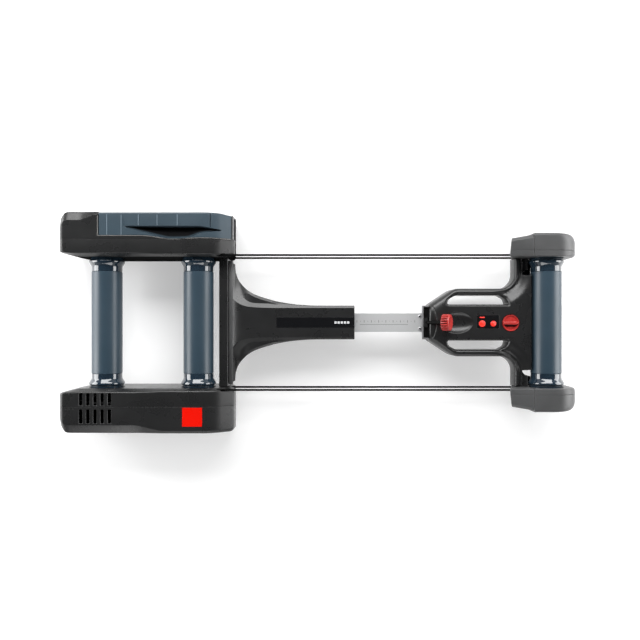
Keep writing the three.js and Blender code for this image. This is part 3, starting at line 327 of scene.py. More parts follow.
def make_sleeve_finish():
    material, tree, shader = new_material("sleeve_satin", 0.3)
    coordinates = add_node(tree, "ShaderNodeTexCoord")
    rings = add_node(tree, "ShaderNodeTexWave", {
        "Scale": RING_SCALE, "Distortion": 1.5, "Detail": 2.0}, bands_direction="Y")
    tree.links.new(coordinates.outputs["Object"], rings.inputs["Vector"])
    patches = object_noise(tree, 12, 4)
    dark, light = (tuple(channel * share for channel in SLEEVE_TONE) for share in (0.94, 1.06))
    colour_between(tree, shader, patches, dark, light)
    across = add_node(tree, "ShaderNodeSeparateXYZ")
    tree.links.new(coordinates.outputs["Object"], across.inputs[0])
    distance = add_node(tree, "ShaderNodeMath", operation="ABSOLUTE")
    tree.links.new(across.outputs["Y"], distance.inputs[0])
    track = add_node(tree, "ShaderNodeMapRange", {
        "From Min": TYRE_TRACK * 0.3, "From Max": TYRE_TRACK, "To Min": 0.4, "To Max": 0.36},
        interpolation_type="SMOOTHSTEP")
    tree.links.new(distance.outputs[0], track.inputs["Value"])
    tree.links.new(track.outputs["Result"], shader.inputs["Roughness"])
    raise_surface(tree, shader, rings.outputs["Fac"], 0.12, 0.01 * MM)
    return material


def make_polish():
    material, tree, shader = new_material("drum_polish", 0.07)
    patches = object_noise(tree, 15, 3)
    colour_between(tree, shader, patches, (0.011, 0.021, 0.032), (0.015, 0.028, 0.042))
    handled = object_noise(tree, 60, 4)
    value_between(tree, shader, "Roughness", handled, 0.05, 0.1)
    ripple = object_noise(tree, 40, 1)
    raise_surface(tree, shader, ripple.outputs["Fac"], 0.1, 0.02 * MM)
    shader.inputs["Coat Weight"].default_value = 1.0
    shader.inputs["Coat Roughness"].default_value = 0.03
    return material


sleeve_satin = make_sleeve_finish()
drum_polish = make_polish()
print("drum finishes:", sleeve_satin.name, drum_polish.name)

# %% [markdown]
# ## Metals
# The telescopic bar is satin anodised aluminium, drawn along its length, so its fine lines run along X. The
# axles and bearings are plain brushed steel, and the flywheel is cast iron. Plates, disc and yoke are near
# black steel as painted shade for the inside of the pod, so nothing bright shows through the slots of the
# pod.

# %% Metals
def drawn_metal(name, tone, roughness, stretch, depth, metallic=1.0):
    material, tree, shader = new_material(name, roughness, metallic)
    lines = object_noise(tree, 60, 4, stretch)
    colour_between(tree, shader, lines, tuple(c * 0.95 for c in tone), tone)
    value_between(tree, shader, "Roughness", lines, roughness * 0.85, roughness * 1.15)
    raise_surface(tree, shader, lines.outputs["Fac"], 0.25, depth)
    return material


bar_anodised = drawn_metal("bar_anodised", (0.64, 0.645, 0.65), 0.45, (0.6, 40, 40), 0.01 * MM, 0.55)
brushed_steel = drawn_metal("brushed_steel", (0.55, 0.56, 0.58), 0.34, (40, 1, 40), 0.02 * MM)
screw_steel = drawn_metal("screw_steel", (0.62, 0.62, 0.63), 0.22, (20, 20, 1), 0.01 * MM)
dark_iron = drawn_metal("dark_iron", (0.13, 0.13, 0.135), 0.55, (6, 6, 6), 0.08 * MM)
# Painted shade: plates, disc and yoke are near black so that they read as the shade inside the pod. The clamp
# shoe takes the same dark steel.
coated_steel = moulded_plastic("coated_steel", (0.012, 0.012, 0.0125), 0.55, 1100, 0.02 * MM)
print("metals:", bar_anodised.name, brushed_steel.name, screw_steel.name, dark_iron.name, coated_steel.name)

# %% [markdown]
# ## Lamps on the panel
# The indicator lenses are clear red plastic with a small lamp behind, so they glow a little from within.

# %% Lens
def make_lens():
    material, tree, shader = new_material("lens_red", 0.15)
    patches = object_noise(tree, 300, 2)
    colour_between(tree, shader, patches, (0.75, 0.02, 0.015), (0.9, 0.035, 0.02))
    raise_surface(tree, shader, patches.outputs["Fac"], 0.15, 0.02 * MM)
    shader.inputs["Emission Color"].default_value = (1.0, 0.035, 0.02, 1)
    shader.inputs["Emission Strength"].default_value = 0.35
    shader.inputs["Coat Weight"].default_value = 0.6
    return material


lens_red = make_lens()
print("finishes:", len(bpy.data.materials))

# %% [markdown]
# ## Finish of the nodes that stay
# Nodes whose shape is already right keep their mesh and only get their finish. The pieces that follow then
# take the place of those that need rounder edges or finer shapes.

# %% Dress the nodes
finish_of_slot = {
    "casing": casing_plastic, "cap_plastic": cap_plastic, "grip_cover": cover_plastic,
    "drum_sleeve": sleeve_satin, "drum_gloss": drum_polish, "bar_metal": bar_anodised,
    "steel": brushed_steel, "dark_iron": dark_iron, "foot_rubber": foot_rubber, "belt_rubber": belt_rubber,
    "red_plastic": red_plastic, "lamp": lens_red, "board": board_green, "socket_plastic": dark_gloss,
}
for name, node in frame["nodes"].items():
    node.data.materials.clear()
    node.data.materials.append(finish_of_slot[slot_of[name]])
print("dressed", len(frame["nodes"]), "nodes")

# %% [markdown]
# ## Mesh helpers
# A piece is a closed mesh with its place in its points. The helpers make one from points and faces, close it,
# cut it with another, round its edges, and hand it over in place of the nodes that it stands for.

# %% Mesh helpers
def new_piece(name, points, faces):
    mesh = bpy.data.meshes.new(name)
    mesh.from_pydata([tuple(point) for point in points], [], faces)
    return add_object(name, mesh)


def close_up(piece, merge=0.01 * MM):
    """Merges doubled points and turns all faces outwards."""
    form = bmesh.new()
    form.from_mesh(piece.data)
    bmesh.ops.remove_doubles(form, verts=form.verts, dist=merge)
    bmesh.ops.dissolve_degenerate(form, edges=form.edges, dist=merge)
    bmesh.ops.recalc_face_normals(form, faces=form.faces)
    form.to_mesh(piece.data)
    form.free()
    return piece


def settle(piece):
    """Turns the modifiers' result into the piece's own plain mesh."""
    seen = piece.evaluated_get(bpy.context.evaluated_depsgraph_get())
    result = bpy.data.meshes.new_from_object(seen)
    piece.modifiers.clear()
    piece.data = result
    return piece


def shade(piece, angle=35):
    if "custom_normal" in piece.data.attributes:
        piece.data.attributes.remove(piece.data.attributes["custom_normal"])
    piece.data.shade_smooth()
    piece.data.set_sharp_from_angle(angle=math.radians(angle))
    return piece


def combine(piece, tool, operation="DIFFERENCE"):
    join = piece.modifiers.new("join", "BOOLEAN")
    join.operation = operation
    join.solver = "EXACT"
    join.object = tool
    settle(piece)
    bpy.data.objects.remove(tool)
    return piece


def tidy_faces(piece):
    """Joins flat neighbours into one face, so that a bevel only meets real edges."""
    form = bmesh.new()
    form.from_mesh(piece.data)
    bmesh.ops.remove_doubles(form, verts=form.verts, dist=0.03 * MM)
    bmesh.ops.dissolve_limit(form, angle_limit=math.radians(1), verts=form.verts, edges=form.edges)
    form.to_mesh(piece.data)
    form.free()
    return piece


def soften(piece, width, segments=2, angle=40):
    """Rounds the real edges and keeps the flat faces flat."""
    edge = piece.modifiers.new("edge", "BEVEL")
    edge.width = width
    edge.segments = segments
    edge.limit_method = "ANGLE"
    edge.angle_limit = math.radians(angle)
    edge.use_clamp_overlap = False
    edge.miter_outer = "MITER_ARC"
    even = piece.modifiers.new("even", "WEIGHTED_NORMAL")
    even.keep_sharp = True
    shade(piece, angle)
    settle(piece)
    return piece


def hand_over(piece, finish, *nodes):
    """The piece takes the place of these nodes: it joins the first node's body, wears the given finish, and
    the nodes are hidden.
    """
    piece.data.materials.clear()
    piece.data.materials.append(finish)
    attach(piece, body_of[nodes[0]])
    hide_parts(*nodes)
    return piece


def put_with(piece, finish, node):
    """An added detail moves with a node's body."""
    piece.data.materials.clear()
    piece.data.materials.append(finish)
    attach(piece, body_of[node])
    return piece

# %% [markdown]
# ## Outlines, lofts and turned shapes
# Mouldings have rounded corners everywhere. An outline with its corners rounded is carried along a part as
# rings, and a skin over the rings makes the solid. What is round is turned instead, about its own axis.

# %% Outlines, lofts and turned shapes
def rounded(corners, steps=6):
    """A closed outline whose corners (a, b, radius) become arcs of steps + 1 points each."""
    points = []
    for place, (a, b, radius) in enumerate(corners):
        here = Vector((a, b))
        before = Vector(corners[place - 1][:2]) - here
        after = Vector(corners[(place + 1) % len(corners)][:2]) - here
        shortest = min(before.length, after.length)
        half = before.angle(after) / 2
        reach = min(radius / math.tan(half), shortest * 0.49) if half < math.radians(89.9) else 0
        bend = reach * math.tan(half)
        if bend < 0.001 * MM:
            points += [here.copy() for _ in range(steps + 1)]
            continue
        inward = (before.normalized() + after.normalized()).normalized()
        centre = here + inward * (bend / math.sin(half))
        first = here + before.normalized() * reach - centre
        last = here + after.normalized() * reach - centre
        start = math.atan2(first.y, first.x)
        turn = math.remainder(math.atan2(last.y, last.x) - start, math.tau)
        for step in range(steps + 1):
            angle = start + turn * step / steps
            points.append(centre + Vector((math.cos(angle), math.sin(angle))) * bend)
    return points


def rectangle(a0, b0, a1, b1, radius, steps=3, end_radius=None):
    """A rounded rectangle; its corners at a1 may have a radius of their own."""
    end = end_radius or radius
    return rounded([(a0, b0, radius), (a1, b0, end), (a1, b1, end), (a0, b1, radius)], steps)


def loft(name, rings):
    count = len(rings[0])
    faces = []
    for ring in range(len(rings) - 1):
        for side in range(count):
            a = ring * count + side
            b = ring * count + (side + 1) % count
            faces.append((a, b, b + count, a + count))
    faces.append(tuple(range(count))[::-1])
    faces.append(tuple(range((len(rings) - 1) * count, len(rings) * count)))
    return close_up(new_piece(name, [point for ring in rings for point in ring], faces))


def turned(name, profile, axis_x, axis_z, sides=96):
    """Turns a closed profile of (radius, y) points about a line along Y."""
    points = []
    for side in range(sides):
        angle = math.tau * side / sides
        points += [(axis_x + r * math.cos(angle), y, axis_z + r * math.sin(angle)) for r, y in profile]
    count = len(profile)
    faces = []
    for side in range(sides):
        beside = (side + 1) % sides
        for step in range(count):
            after = (step + 1) % count
            faces.append((
                side * count + step, side * count + after, beside * count + after, beside * count + step))
    return close_up(new_piece(name, points, faces))


def block(name, low, high):
    """A closed box between two corners, used to cut and to split."""
    points = [(x, y, z) for x in (low[0], high[0]) for y in (low[1], high[1]) for z in (low[2], high[2])]
    faces = [(0, 1, 3, 2), (4, 6, 7, 5), (0, 4, 5, 1), (2, 3, 7, 6), (0, 2, 6, 4), (1, 5, 7, 3)]
    return close_up(new_piece(name, points, faces))


def prism(name, outline, z0, z1):
    """An upright solid over an outline of (x, y) points."""
    return loft(name, [[(x, y, z) for x, y in outline] for z in (z0, z1)])


ALONG, ACROSS, UP = 0, 1, 2


def round_solid(name, axis, rows, a, b, sides=64):
    """A round solid along X, Y or Z from rows of (place, radius), with its middle at a, b across that."""
    rings = []
    for place, radius in rows:
        ring = []
        for side in range(sides):
            angle = math.tau * side / sides
            point = [a + radius * math.cos(angle), b + radius * math.sin(angle)]
            point.insert(axis, place)
            ring.append(point)
        rings.append(ring)
    return loft(name, rings)


def copy_of(node):
    return add_object(node + "_soft", frame["nodes"][node].data.copy())


def dressed_copy(node, width, segments=2, finish=None):
    """A copy of a node's mesh with its flat faces joined and its edges rounded."""
    piece = soften(tidy_faces(copy_of(node)), width, segments, 30)
    return hand_over(piece, finish or finish_of_slot[slot_of[node]], node)

# %% [markdown]
# ## Drums
# Each drum is a tube with two flared ends, all turned parts, so a profile is spun about the axis. The flare
# keeps the wheel from climbing off, and is a smooth S-curve from the sleeve out to a rounded lip.

# %% Drum sleeves and ends
DRUMS = ("rear", "middle", "front")
SLEEVE_EDGE = 0.8 * MM
LIP_ROUND = 2.6 * MM
GROOVE_DEPTH = 5 * MM
BELT_Y, BELT_ROUTE = 171.3 * MM, 39 * MM


def smooth(value, start, end):
    """From 0 at start to 1 at end, along an S-curve."""
    share = np.clip((value - start) / (end - start), 0, 1)
    return share * share * (3 - 2 * share)


def sleeve_profile(node):
    low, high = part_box(node)
    radius = (high.z - low.z) / 2
    inner = radius - 3 * MM
    end = high.y
    return [
        (inner, -end), (radius - SLEEVE_EDGE, -end), (radius, -end + SLEEVE_EDGE),
        (radius, end - SLEEVE_EDGE), (radius - SLEEVE_EDGE, end), (inner, end)]


def end_profile(node, sleeve):
    """From the spigot inside the sleeve over the flare to the belt groove and back along the bore."""
    low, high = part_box(node)
    spigot, hub = low.y, high.y
    lip = (high.z - low.z) / 2
    drum = sleeve[1].z - (sleeve[0].z + sleeve[1].z) / 2
    seat = sleeve[1].y + 0.3 * MM
    flare_start, flare_end = 142 * MM, 157 * MM
    bore, core, flange = 6.3 * MM, 36 * MM, 41 * MM
    profile = [(bore, spigot), (drum - 3.3 * MM, spigot), (drum - 3.3 * MM, seat)]
    profile += [(drum - 0.6 * MM, seat), (drum, seat + 0.6 * MM)]
    for step in range(13):
        y = flare_start + (flare_end - flare_start) * step / 12
        profile.append((drum + (lip - drum) * float(smooth(y, flare_start, flare_end)), y))
    for step in range(1, 7):
        angle = math.radians(90 * step / 6)
        profile.append((lip - LIP_ROUND * (1 - math.cos(angle)), flare_end + LIP_ROUND * math.sin(angle)))
    edge = BELT_Y - 2.8 * MM
    profile += [(flange + 0.6 * MM, flare_end + LIP_ROUND + 2 * MM), (flange, flare_end + LIP_ROUND + 3 * MM)]
    profile += [(flange, edge - 0.5 * MM), (flange - 0.5 * MM, edge)]
    for step in range(7):
        angle = math.pi * step / 6
        radius = core + GROOVE_DEPTH * (1 - math.sin(angle)) * 0.85
        profile.append((radius, BELT_Y - 2.6 * MM * math.cos(angle)))
    outer = BELT_Y + 4.3 * MM
    profile += [(flange - 0.5 * MM, BELT_Y + 2.8 * MM), (flange, BELT_Y + 3.2 * MM), (flange, outer)]
    return profile + [(9 * MM, outer), (9 * MM, hub), (bore, hub)]


axes = {}
for drum in DRUMS:
    tube = drum + "_drum_tube"
    low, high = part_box(tube)
    axes[drum] = (low + high) / 2
    sleeve = turned(tube + "_fine", sleeve_profile(tube), axes[drum].x, axes[drum].z, 128)
    hand_over(shade(sleeve), sleeve_satin, tube)
    profile = end_profile(drum + "_drum_end_right", (low, high))
    for side, sign in (("right", 1), ("left", -1)):
        node = f"{drum}_drum_end_{side}"
        end = turned(node + "_fine", [(r, sign * y) for r, y in profile], axes[drum].x, axes[drum].z)
        hand_over(shade(end, 40), drum_polish, node)
    print(drum, "drum at x", round(axes[drum].x, 4), "radius", round((high.z - low.z) / 2, 4))

# %% [markdown]
# ## Copies in a row
# Slots, ribs and scale marks repeat at an even step, and ribs on a knob at an even turn. A small Geometry
# Nodes tree does both: it puts copies of one piece along a step, and turns each a little more than the last.
# The helpers that start a tree, end it and grow a piece from it serve the belts too.

# %% Row tree
def new_tree(name, **inputs):
    """A Geometry Nodes tree with named inputs; returns it with its group input."""
    tree = bpy.data.node_groups.new(name, "GeometryNodeTree")
    tree.interface.new_socket("Geometry", in_out="OUTPUT", socket_type="NodeSocketGeometry")
    for key, kind in (*inputs.items(), ("Finish", "Material")):
        tree.interface.new_socket(key.replace("_", " "), in_out="INPUT", socket_type="NodeSocket" + kind)
    return tree, tree.nodes.new("NodeGroupInput")


def end_tree(tree, given, shape):
    """Realizes the instances, sets the material and puts the result out."""
    real = tree.nodes.new("GeometryNodeRealizeInstances")
    dress = tree.nodes.new("GeometryNodeSetMaterial")
    result = tree.nodes.new("NodeGroupOutput")
    tree.links.new(shape, real.inputs["Geometry"])
    tree.links.new(real.outputs["Geometry"], dress.inputs["Geometry"])
    tree.links.new(given.outputs["Finish"], dress.inputs["Material"])
    tree.links.new(dress.outputs["Geometry"], result.inputs["Geometry"])
    return tree


def grow_piece(name, tree, **values):
    """A new piece from a tree; each input is set by its socket's identifier before it is evaluated."""
    piece = new_piece(name, [], [])
    modifier = piece.modifiers.new(tree.name, "NODES")
    modifier.node_group = tree
    for item in tree.interface.items_tree:
        if item.in_out == "INPUT":
            modifier[item.identifier] = values[item.name.replace(" ", "_")]
    return settle(piece)


def make_row_tree():
    tree, given = new_tree("row", Piece="Object", Count="Int", Step="Vector", Turn="Vector")
    line = add_node(tree, "GeometryNodeMeshLine", mode="OFFSET")
    source = tree.nodes.new("GeometryNodeObjectInfo")
    place = tree.nodes.new("GeometryNodeInstanceOnPoints")
    index = tree.nodes.new("GeometryNodeInputIndex")
    turned_by = add_node(tree, "ShaderNodeVectorMath", operation="SCALE")
    rotation = tree.nodes.new("FunctionNodeEulerToRotation")
    link = tree.links.new
    link(given.outputs["Count"], line.inputs["Count"])
    link(given.outputs["Step"], line.inputs["Offset"])
    link(given.outputs["Piece"], source.inputs["Object"])
    link(line.outputs["Mesh"], place.inputs["Points"])
    link(source.outputs["Geometry"], place.inputs["Instance"])
    link(given.outputs["Turn"], turned_by.inputs[0])
    link(index.outputs[0], turned_by.inputs["Scale"])
    link(turned_by.outputs[0], rotation.inputs[0])
    link(rotation.outputs[0], place.inputs["Rotation"])
    return end_tree(tree, given, place.outputs["Instances"])


row_tree = make_row_tree()


def row(name, piece, count, finish, step=(0, 0, 0), turn=(0, 0, 0)):
    """Copies of the piece in its place, moved and turned step by step, as one new piece."""
    copies = grow_piece(name, row_tree, Piece=piece, Count=count, Step=step, Turn=turn, Finish=finish)
    bpy.data.objects.remove(piece)
    return copies


print("row inputs:", [item.name for item in row_tree.interface.items_tree])

# %% [markdown]
# ## Rear pods
# Each pod is two moulded shells that meet on a parting line. Both follow one section carried along the pod:
# the inner wall tapers at the back, the top bends and slopes down to a chin at the nose, and the outer edge
# is a broad facet that fades out. Each shell is a loft of its own, so its rim at the parting line is rounded.

# %% Pod section
pod_low, pod_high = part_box("right_pod_outer_shell")
POD_BACK, POD_FRONT = pod_low.x, pod_high.x
POD_OUTER, POD_TOP, POD_FLOOR = pod_high.y, pod_high.z, pod_low.z
POD_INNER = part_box("right_pod_inner_shell")[0].y
POD_LENGTH = POD_FRONT - POD_BACK
POD_WALL = 3 * MM
REAR_ROUND = 9 * MM
NOSE, NOSE_BEND, NOSE_SLOPE = 76 * MM, 44 * MM, 0.68
CHIN, CHIN_HEIGHT = 11 * MM, 72 * MM
CORNER_CUT, CORNER_LENGTH = 19 * MM, 13 * MM
TAPER_DEPTH, TAPER_LENGTH = 10 * MM, 46 * MM
# Where the outer facet fades, how round the front corner is in plan, how far the nose draws in before it, and
# how round the rim at the parting line is.
LEFT_SIDE = (185 * MM, 265 * MM, 11 * MM, 0, 0.35 * MM)
RIGHT_SIDE = (55 * MM, 93 * MM, 6 * MM, 5 * MM, 0.15 * MM)
SEAM_GAP = 0.3 * MM
END_ROUND = 2.2 * MM


def arc_drop(distance, radius):
    reach = min(max(distance, 0), radius)
    return radius - math.sqrt(radius * radius - reach * reach)


def nose_fall(distance):
    """How far the top has fallen at a distance past the start of the nose: a bend, then an even slope."""
    bend = min(max(distance, 0), NOSE_BEND)
    return NOSE_SLOPE * (bend * bend / (2 * NOSE_BEND) + max(distance - NOSE_BEND, 0))


def eased(value, soft):
    """Zero below zero and the value itself above, with a soft bend between."""
    return (value + math.sqrt(value * value + soft * soft)) / 2


def pod_lines(u, inset, side):
    """At u from the back: top, outer side, inner side low and high, the facet's width and fall, and floor."""
    fade_start, fade_end, corner, draw_in, _ = side
    nose = u - (POD_LENGTH - NOSE)
    top = POD_TOP - inset - arc_drop(REAR_ROUND - u, REAR_ROUND - inset) - nose_fall(nose + 0.9 * inset)
    cut = CORNER_CUT * eased(1 - u / CORNER_LENGTH, 0.15)
    nose_side = draw_in * smooth(u, POD_LENGTH - 42 * MM, POD_LENGTH)
    outer = POD_OUTER - inset - cut - nose_side - arc_drop(u - (POD_LENGTH - corner), corner - inset)
    low = POD_INNER + inset + TAPER_DEPTH * eased(1 - u / TAPER_LENGTH, 0.05)
    swell = 3 * MM * (1 - smooth(u, *LEFT_SIDE[:2]))
    low += 6 * MM * smooth(u, POD_LENGTH - 26 * MM, POD_LENGTH - 2 * MM)
    high = max(POD_INNER + 5.5 * MM + inset + swell, low + 2 * MM)
    straight = np.clip((fade_end - u) / (fade_end - fade_start), 0, 1)
    faded = straight if draw_in else 1 - smooth(u, fade_start, fade_end)
    chin = float(np.clip((u + 0.8 * inset - POD_LENGTH + CHIN) / CHIN, 0, 1))
    floor = POD_FLOOR + inset + CHIN_HEIGHT * chin
    return top, outer, low, high, (7 + 15 * faded) * MM, (5 + (2.6 if draw_in else 5.6) * faded) * MM, floor


def inner_ring(u, inset, seam, side):
    top, outer, low, high, across, down, floor = pod_lines(u, inset, side)
    corners = [
        (low, floor, 3 * MM), (seam, floor, 0.6 * MM), (seam, top, side[-1]),
        (high, top, 5 * MM), (low, top - min(16 * MM, (top - floor) / 2), 9 * MM)]
    return [(POD_BACK + u, y, z) for y, z in rounded(corners)]


def outer_ring(u, inset, seam, side):
    top, outer, low, high, across, down, floor = pod_lines(u, inset, side)
    down = min(down, (top - floor) * 0.4)
    corners = [
        (seam, floor, 0.6 * MM), (outer - 4 * MM, floor, 2 * MM),
        (outer, floor + 4 * MM, 2 * MM), (outer, top - down, 5 * MM), (outer - across, top, 4 * MM),
        (seam, top, side[-1])]
    return [(POD_BACK + u, y, z) for y, z in rounded(corners)]


def rounded_ends(start, end, radius, between):
    """Stations along a loft: quarter arcs of insets at both ends, and the given places between them."""
    angles = [math.radians(15 * step) for step in range(7)]
    rear = [(start + radius * (1 - math.cos(a)), radius * (1 - math.sin(a))) for a in angles]
    fore = [(end - u + start, inset) for u, inset in reversed(rear)]
    middle = [(u, 0) for u in sorted(between) if start + 1.3 * radius < u < end - 1.3 * radius]
    return rear + middle + fore


nose_places = [POD_LENGTH - NOSE + NOSE * math.sin(math.radians(4.5 * step)) for step in range(20)]
even_places = [float(u) for u in np.arange(0, POD_LENGTH - NOSE, 6 * MM)]
pod_places = even_places + nose_places
hollow_places = [POD_WALL] + [u for u in pod_places if 2 * POD_WALL < u < POD_LENGTH - 2 * POD_WALL]
hollow_places += [POD_LENGTH - POD_WALL]
print("pod:", round(POD_LENGTH, 4), "m long,", len(pod_places), "stations")

# %% [markdown]
# ## Dull walls
# The mould was polished for the pods' tops only, so the inner wall of the right pod hardly shines. A material
# that fades its gloss by height does this on one shell, where two materials would leave a hard line.

# %% Wall plastic
def make_wall_plastic():
    material = moulded_plastic("wall_plastic", *CASING, gloss=0.5)
    tree = material.node_tree
    place = add_node(tree, "ShaderNodeTexCoord")
    heights = add_node(tree, "ShaderNodeSeparateXYZ")
    tree.links.new(place.outputs["Object"], heights.inputs[0])
    gloss = add_node(tree, "ShaderNodeMapRange", {
        "From Min": POD_TOP - 17 * MM, "From Max": POD_TOP - 9 * MM, "To Min": 0.0, "To Max": 0.5})
    fallen = add_node(tree, "ShaderNodeMapRange", {
        "From Min": POD_FRONT - NOSE + NOSE_BEND / 2, "From Max": POD_FRONT, "To Min": 0.0,
        "To Max": NOSE_SLOPE * (NOSE - NOSE_BEND / 2)})
    tree.links.new(heights.outputs["X"], fallen.inputs["Value"])
    level = math_node(tree, "ADD", heights.outputs["Z"], fallen.outputs["Result"])
    tree.links.new(level, gloss.inputs["Value"])
    tree.links.new(gloss.outputs["Result"], tree.nodes["Principled BSDF"].inputs["Specular IOR Level"])
    return material


wall_plastic = make_wall_plastic()
print("finishes:", len(bpy.data.materials))

# %% [markdown]
# ## Inner shells with holes for the drums and the belts
# The drums' ends turn in round holes in the inner wall, and the belts leave through two slots at the front.
# Booleans cut both out of the hollowed shell, and each round hole gets a chamfer.

# %% Inner shells
def cut_hub_holes(shell, sign):
    for drum in ("rear", "middle"):
        rows = [(160, 47), (166.4, 45.4), (167.4, 44.3), (168.4, 44), (180, 44)]
        combine(shell, round_solid("hub_tool", ACROSS, [(sign * y * MM, r * MM) for y, r in rows],
                                   axes[drum].x, axes[drum].z, 72))


def cut_belt_slots(shell, sign, x0, x1):
    y0, y1 = sorted((sign * (BELT_Y - 2.4 * MM), sign * (BELT_Y + 4 * MM)))
    for middle in (axes["front"].z + BELT_ROUTE, axes["front"].z - BELT_ROUTE):
        outline = rectangle(y0, middle - 7 * MM, y1, middle + 7 * MM, 1.5 * MM)
        combine(shell, loft("belt_tool", [[(x, y, z) for y, z in outline] for x in (x0, x1)]))


def mirror_ring(ring, sign):
    return [(x, sign * y, z) for x, y, z in ring]


def make_inner_shell(name, node, sign, seam, side):
    stations = rounded_ends(0, POD_LENGTH, END_ROUND, pod_places)
    shell = loft(name, [mirror_ring(inner_ring(u, inset, seam, side), sign) for u, inset in stations])
    combine(shell, loft("hollow", [
        mirror_ring(inner_ring(u, POD_WALL, seam + 5 * MM, side), sign) for u in hollow_places]))
    cut_hub_holes(shell, sign)
    cut_belt_slots(shell, sign, axes["middle"].x, POD_FRONT + 5 * MM)
    return hand_over(shade(shell, 38), casing_plastic if sign < 0 else wall_plastic, node)


right_inner = make_inner_shell(
    "right_pod_inner", "right_pod_inner_shell", 1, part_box("right_pod_inner_shell")[1].y, RIGHT_SIDE)
left_inner = make_inner_shell(
    "left_pod_inner", "left_pod_inner_shell", -1, -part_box("left_pod_inner_shell")[0].y, LEFT_SIDE)
print("inner shells:", len(right_inner.data.polygons), len(left_inner.data.polygons), "faces")

# %% [markdown]
# ## Left pod: slots, sockets and a bare plate
# The brake warms up, so the left pod has two rows of five cooling slots over it, with chamfered edges that
# catch the light. The plate near the front is plain here. It sits in a shallow recess, flush with the top.

# %% Left outer shell and its slots
VENT_WIDTH, VENT_PITCH, VENT_FIRST, VENT_COUNT = 8.5 * MM, 18 * MM, 55 * MM, 5


def slot_tool(x, y0, y1):
    """A cutter for one slot with chamfered edges through the pod's top."""
    rings = []
    for z, extra in ((POD_TOP - 9 * MM, 0), (POD_TOP - 0.9 * MM, 0), (POD_TOP + 0.3 * MM, 1.2 * MM)):
        half = VENT_WIDTH / 2 + extra
        outline = rectangle(x - half, y0 - extra, x + half, y1 + extra, 1.5 * MM)
        rings.append([(a, b, z) for a, b in outline])
    return loft("slot", rings)


def cut_slots(shell, y0, y1):
    one = slot_tool(POD_BACK + VENT_FIRST, y0, y1)
    combine(shell, row("slots", one, VENT_COUNT, casing_plastic, (VENT_PITCH, 0, 0)))


cut_slots(left_inner, -208 * MM, -177 * MM)
shade(left_inner, 38)
left_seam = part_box("left_pod_outer_shell")[1].y
left_outer = loft("left_pod_outer", [
    mirror_ring(outer_ring(u, inset, -left_seam, LEFT_SIDE), -1)
    for u, inset in rounded_ends(0, POD_LENGTH, END_ROUND, pod_places)])
combine(left_outer, loft("hollow", [
    mirror_ring(outer_ring(u, POD_WALL, -left_seam - 5 * MM, LEFT_SIDE), -1) for u in hollow_places]))
cut_slots(left_outer, -253 * MM, -218 * MM)

PLATE_X, PLATE_Y, PLATE_SINK = (-346 * MM, -296 * MM), (-261 * MM, -213.6 * MM), 0.6 * MM


def plate_outline(grow):
    return rectangle(PLATE_X[0] - grow, PLATE_Y[0] - grow, PLATE_X[1] + grow, PLATE_Y[1] + grow, 0.8 * MM)


combine(left_outer, prism("plate_tool", plate_outline(0.25 * MM), POD_TOP - PLATE_SINK, POD_TOP + 2 * MM))
DOT_X, DOT_Y, DOT_PITCH, DOT_COUNT = -637.6 * MM, -216.5 * MM, 9.4 * MM, 3
dot = round_solid("dot", UP, [
    (POD_TOP - 2 * MM, 1.1 * MM), (POD_TOP - 0.5 * MM, 1.1 * MM), (POD_TOP + 0.3 * MM, 2 * MM)],
    DOT_X, DOT_Y, 20)
combine(left_outer, row("dots", dot, DOT_COUNT, casing_plastic, (DOT_PITCH, 0, 0)))
hand_over(shade(left_outer, 38), casing_plastic, "left_pod_outer_shell")
plate = prism("bare_plate", plate_outline(0), POD_TOP - PLATE_SINK + 0.05 * MM, POD_TOP - 0.05 * MM)
put_with(soften(plate, 0.12 * MM), plate_red, "left_pod_outer_shell")
print("left pod:", len(left_outer.data.polygons), "faces")

# %% [markdown]
# ## Right pod: the blue-grey cover
# The cover lies in a step of the right pod, a little lower than the casing round it, so the casing's rounded
# lip gleams along its edge. Thin ribs cross it, and a hand pocket is sunk into it, wide open at the top.

# %% Right outer shell
COVER_BACK = 98 * MM
NOSE_END, NOSE_WALL = 3 * MM, 3.2 * MM
COVER_SINK = 1.1 * MM
cover_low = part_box("side_cover")[0]
right_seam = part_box("right_pod_outer_shell")[0].y


def cover_edge(u):
    """The cover's inner edge: it swings in beside the drums and out again towards the nose."""
    return (219 - 8.5 * smooth(u, 205 * MM, 283 * MM) + 2.5 * smooth(u, 283 * MM, 355 * MM)) * MM


def strip_ring(u, inset):
    """The casing beside and under the cover: an L that carries it."""
    top, outer, low, high, across, down, floor = pod_lines(u, inset, RIGHT_SIDE)
    edge = cover_edge(u) - SEAM_GAP - inset
    step = floor + cover_low.z - POD_FLOOR - SEAM_GAP - 2 * inset
    corners = [
        (right_seam, floor, 0.6 * MM), (outer - 3 * MM, floor, 1.5 * MM),
        (outer, floor + 3 * MM, 1 * MM), (outer, step, 0.5 * MM), (edge, step, 0.3 * MM),
        (edge, top, 1.1 * MM), (right_seam, top, 0.15 * MM)]
    return [(POD_BACK + u, y, z) for y, z in rounded(corners)]


block_end = COVER_BACK - SEAM_GAP
right_outer = loft("right_pod_outer", [
    outer_ring(u, inset, right_seam, RIGHT_SIDE) for u, inset in rounded_ends(0, block_end, 1.2 * MM, [
        u for u in pod_places + [1.6 * MM, 2.6 * MM, 4 * MM] if u < block_end])])
strip = loft("strip", [
    strip_ring(u, inset) for u, inset in rounded_ends(block_end - 6 * MM, POD_LENGTH, 2 * MM, pod_places)])
combine(right_outer, strip, "UNION")
nose_end = POD_LENGTH - NOSE_END
nose_start = nose_end - NOSE_WALL
nose_wall = loft("nose_wall", [
    outer_ring(u, inset, right_seam, RIGHT_SIDE) for u, inset in rounded_ends(nose_start, nose_end, 1 * MM, [
        u for u in pod_places if nose_start < u < nose_end])])
combine(right_outer, nose_wall, "UNION")
socket_low, socket_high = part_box("power_socket")
socket_y, socket_z = (socket_low.y + socket_high.y) / 2, (socket_low.z + socket_high.z) / 2
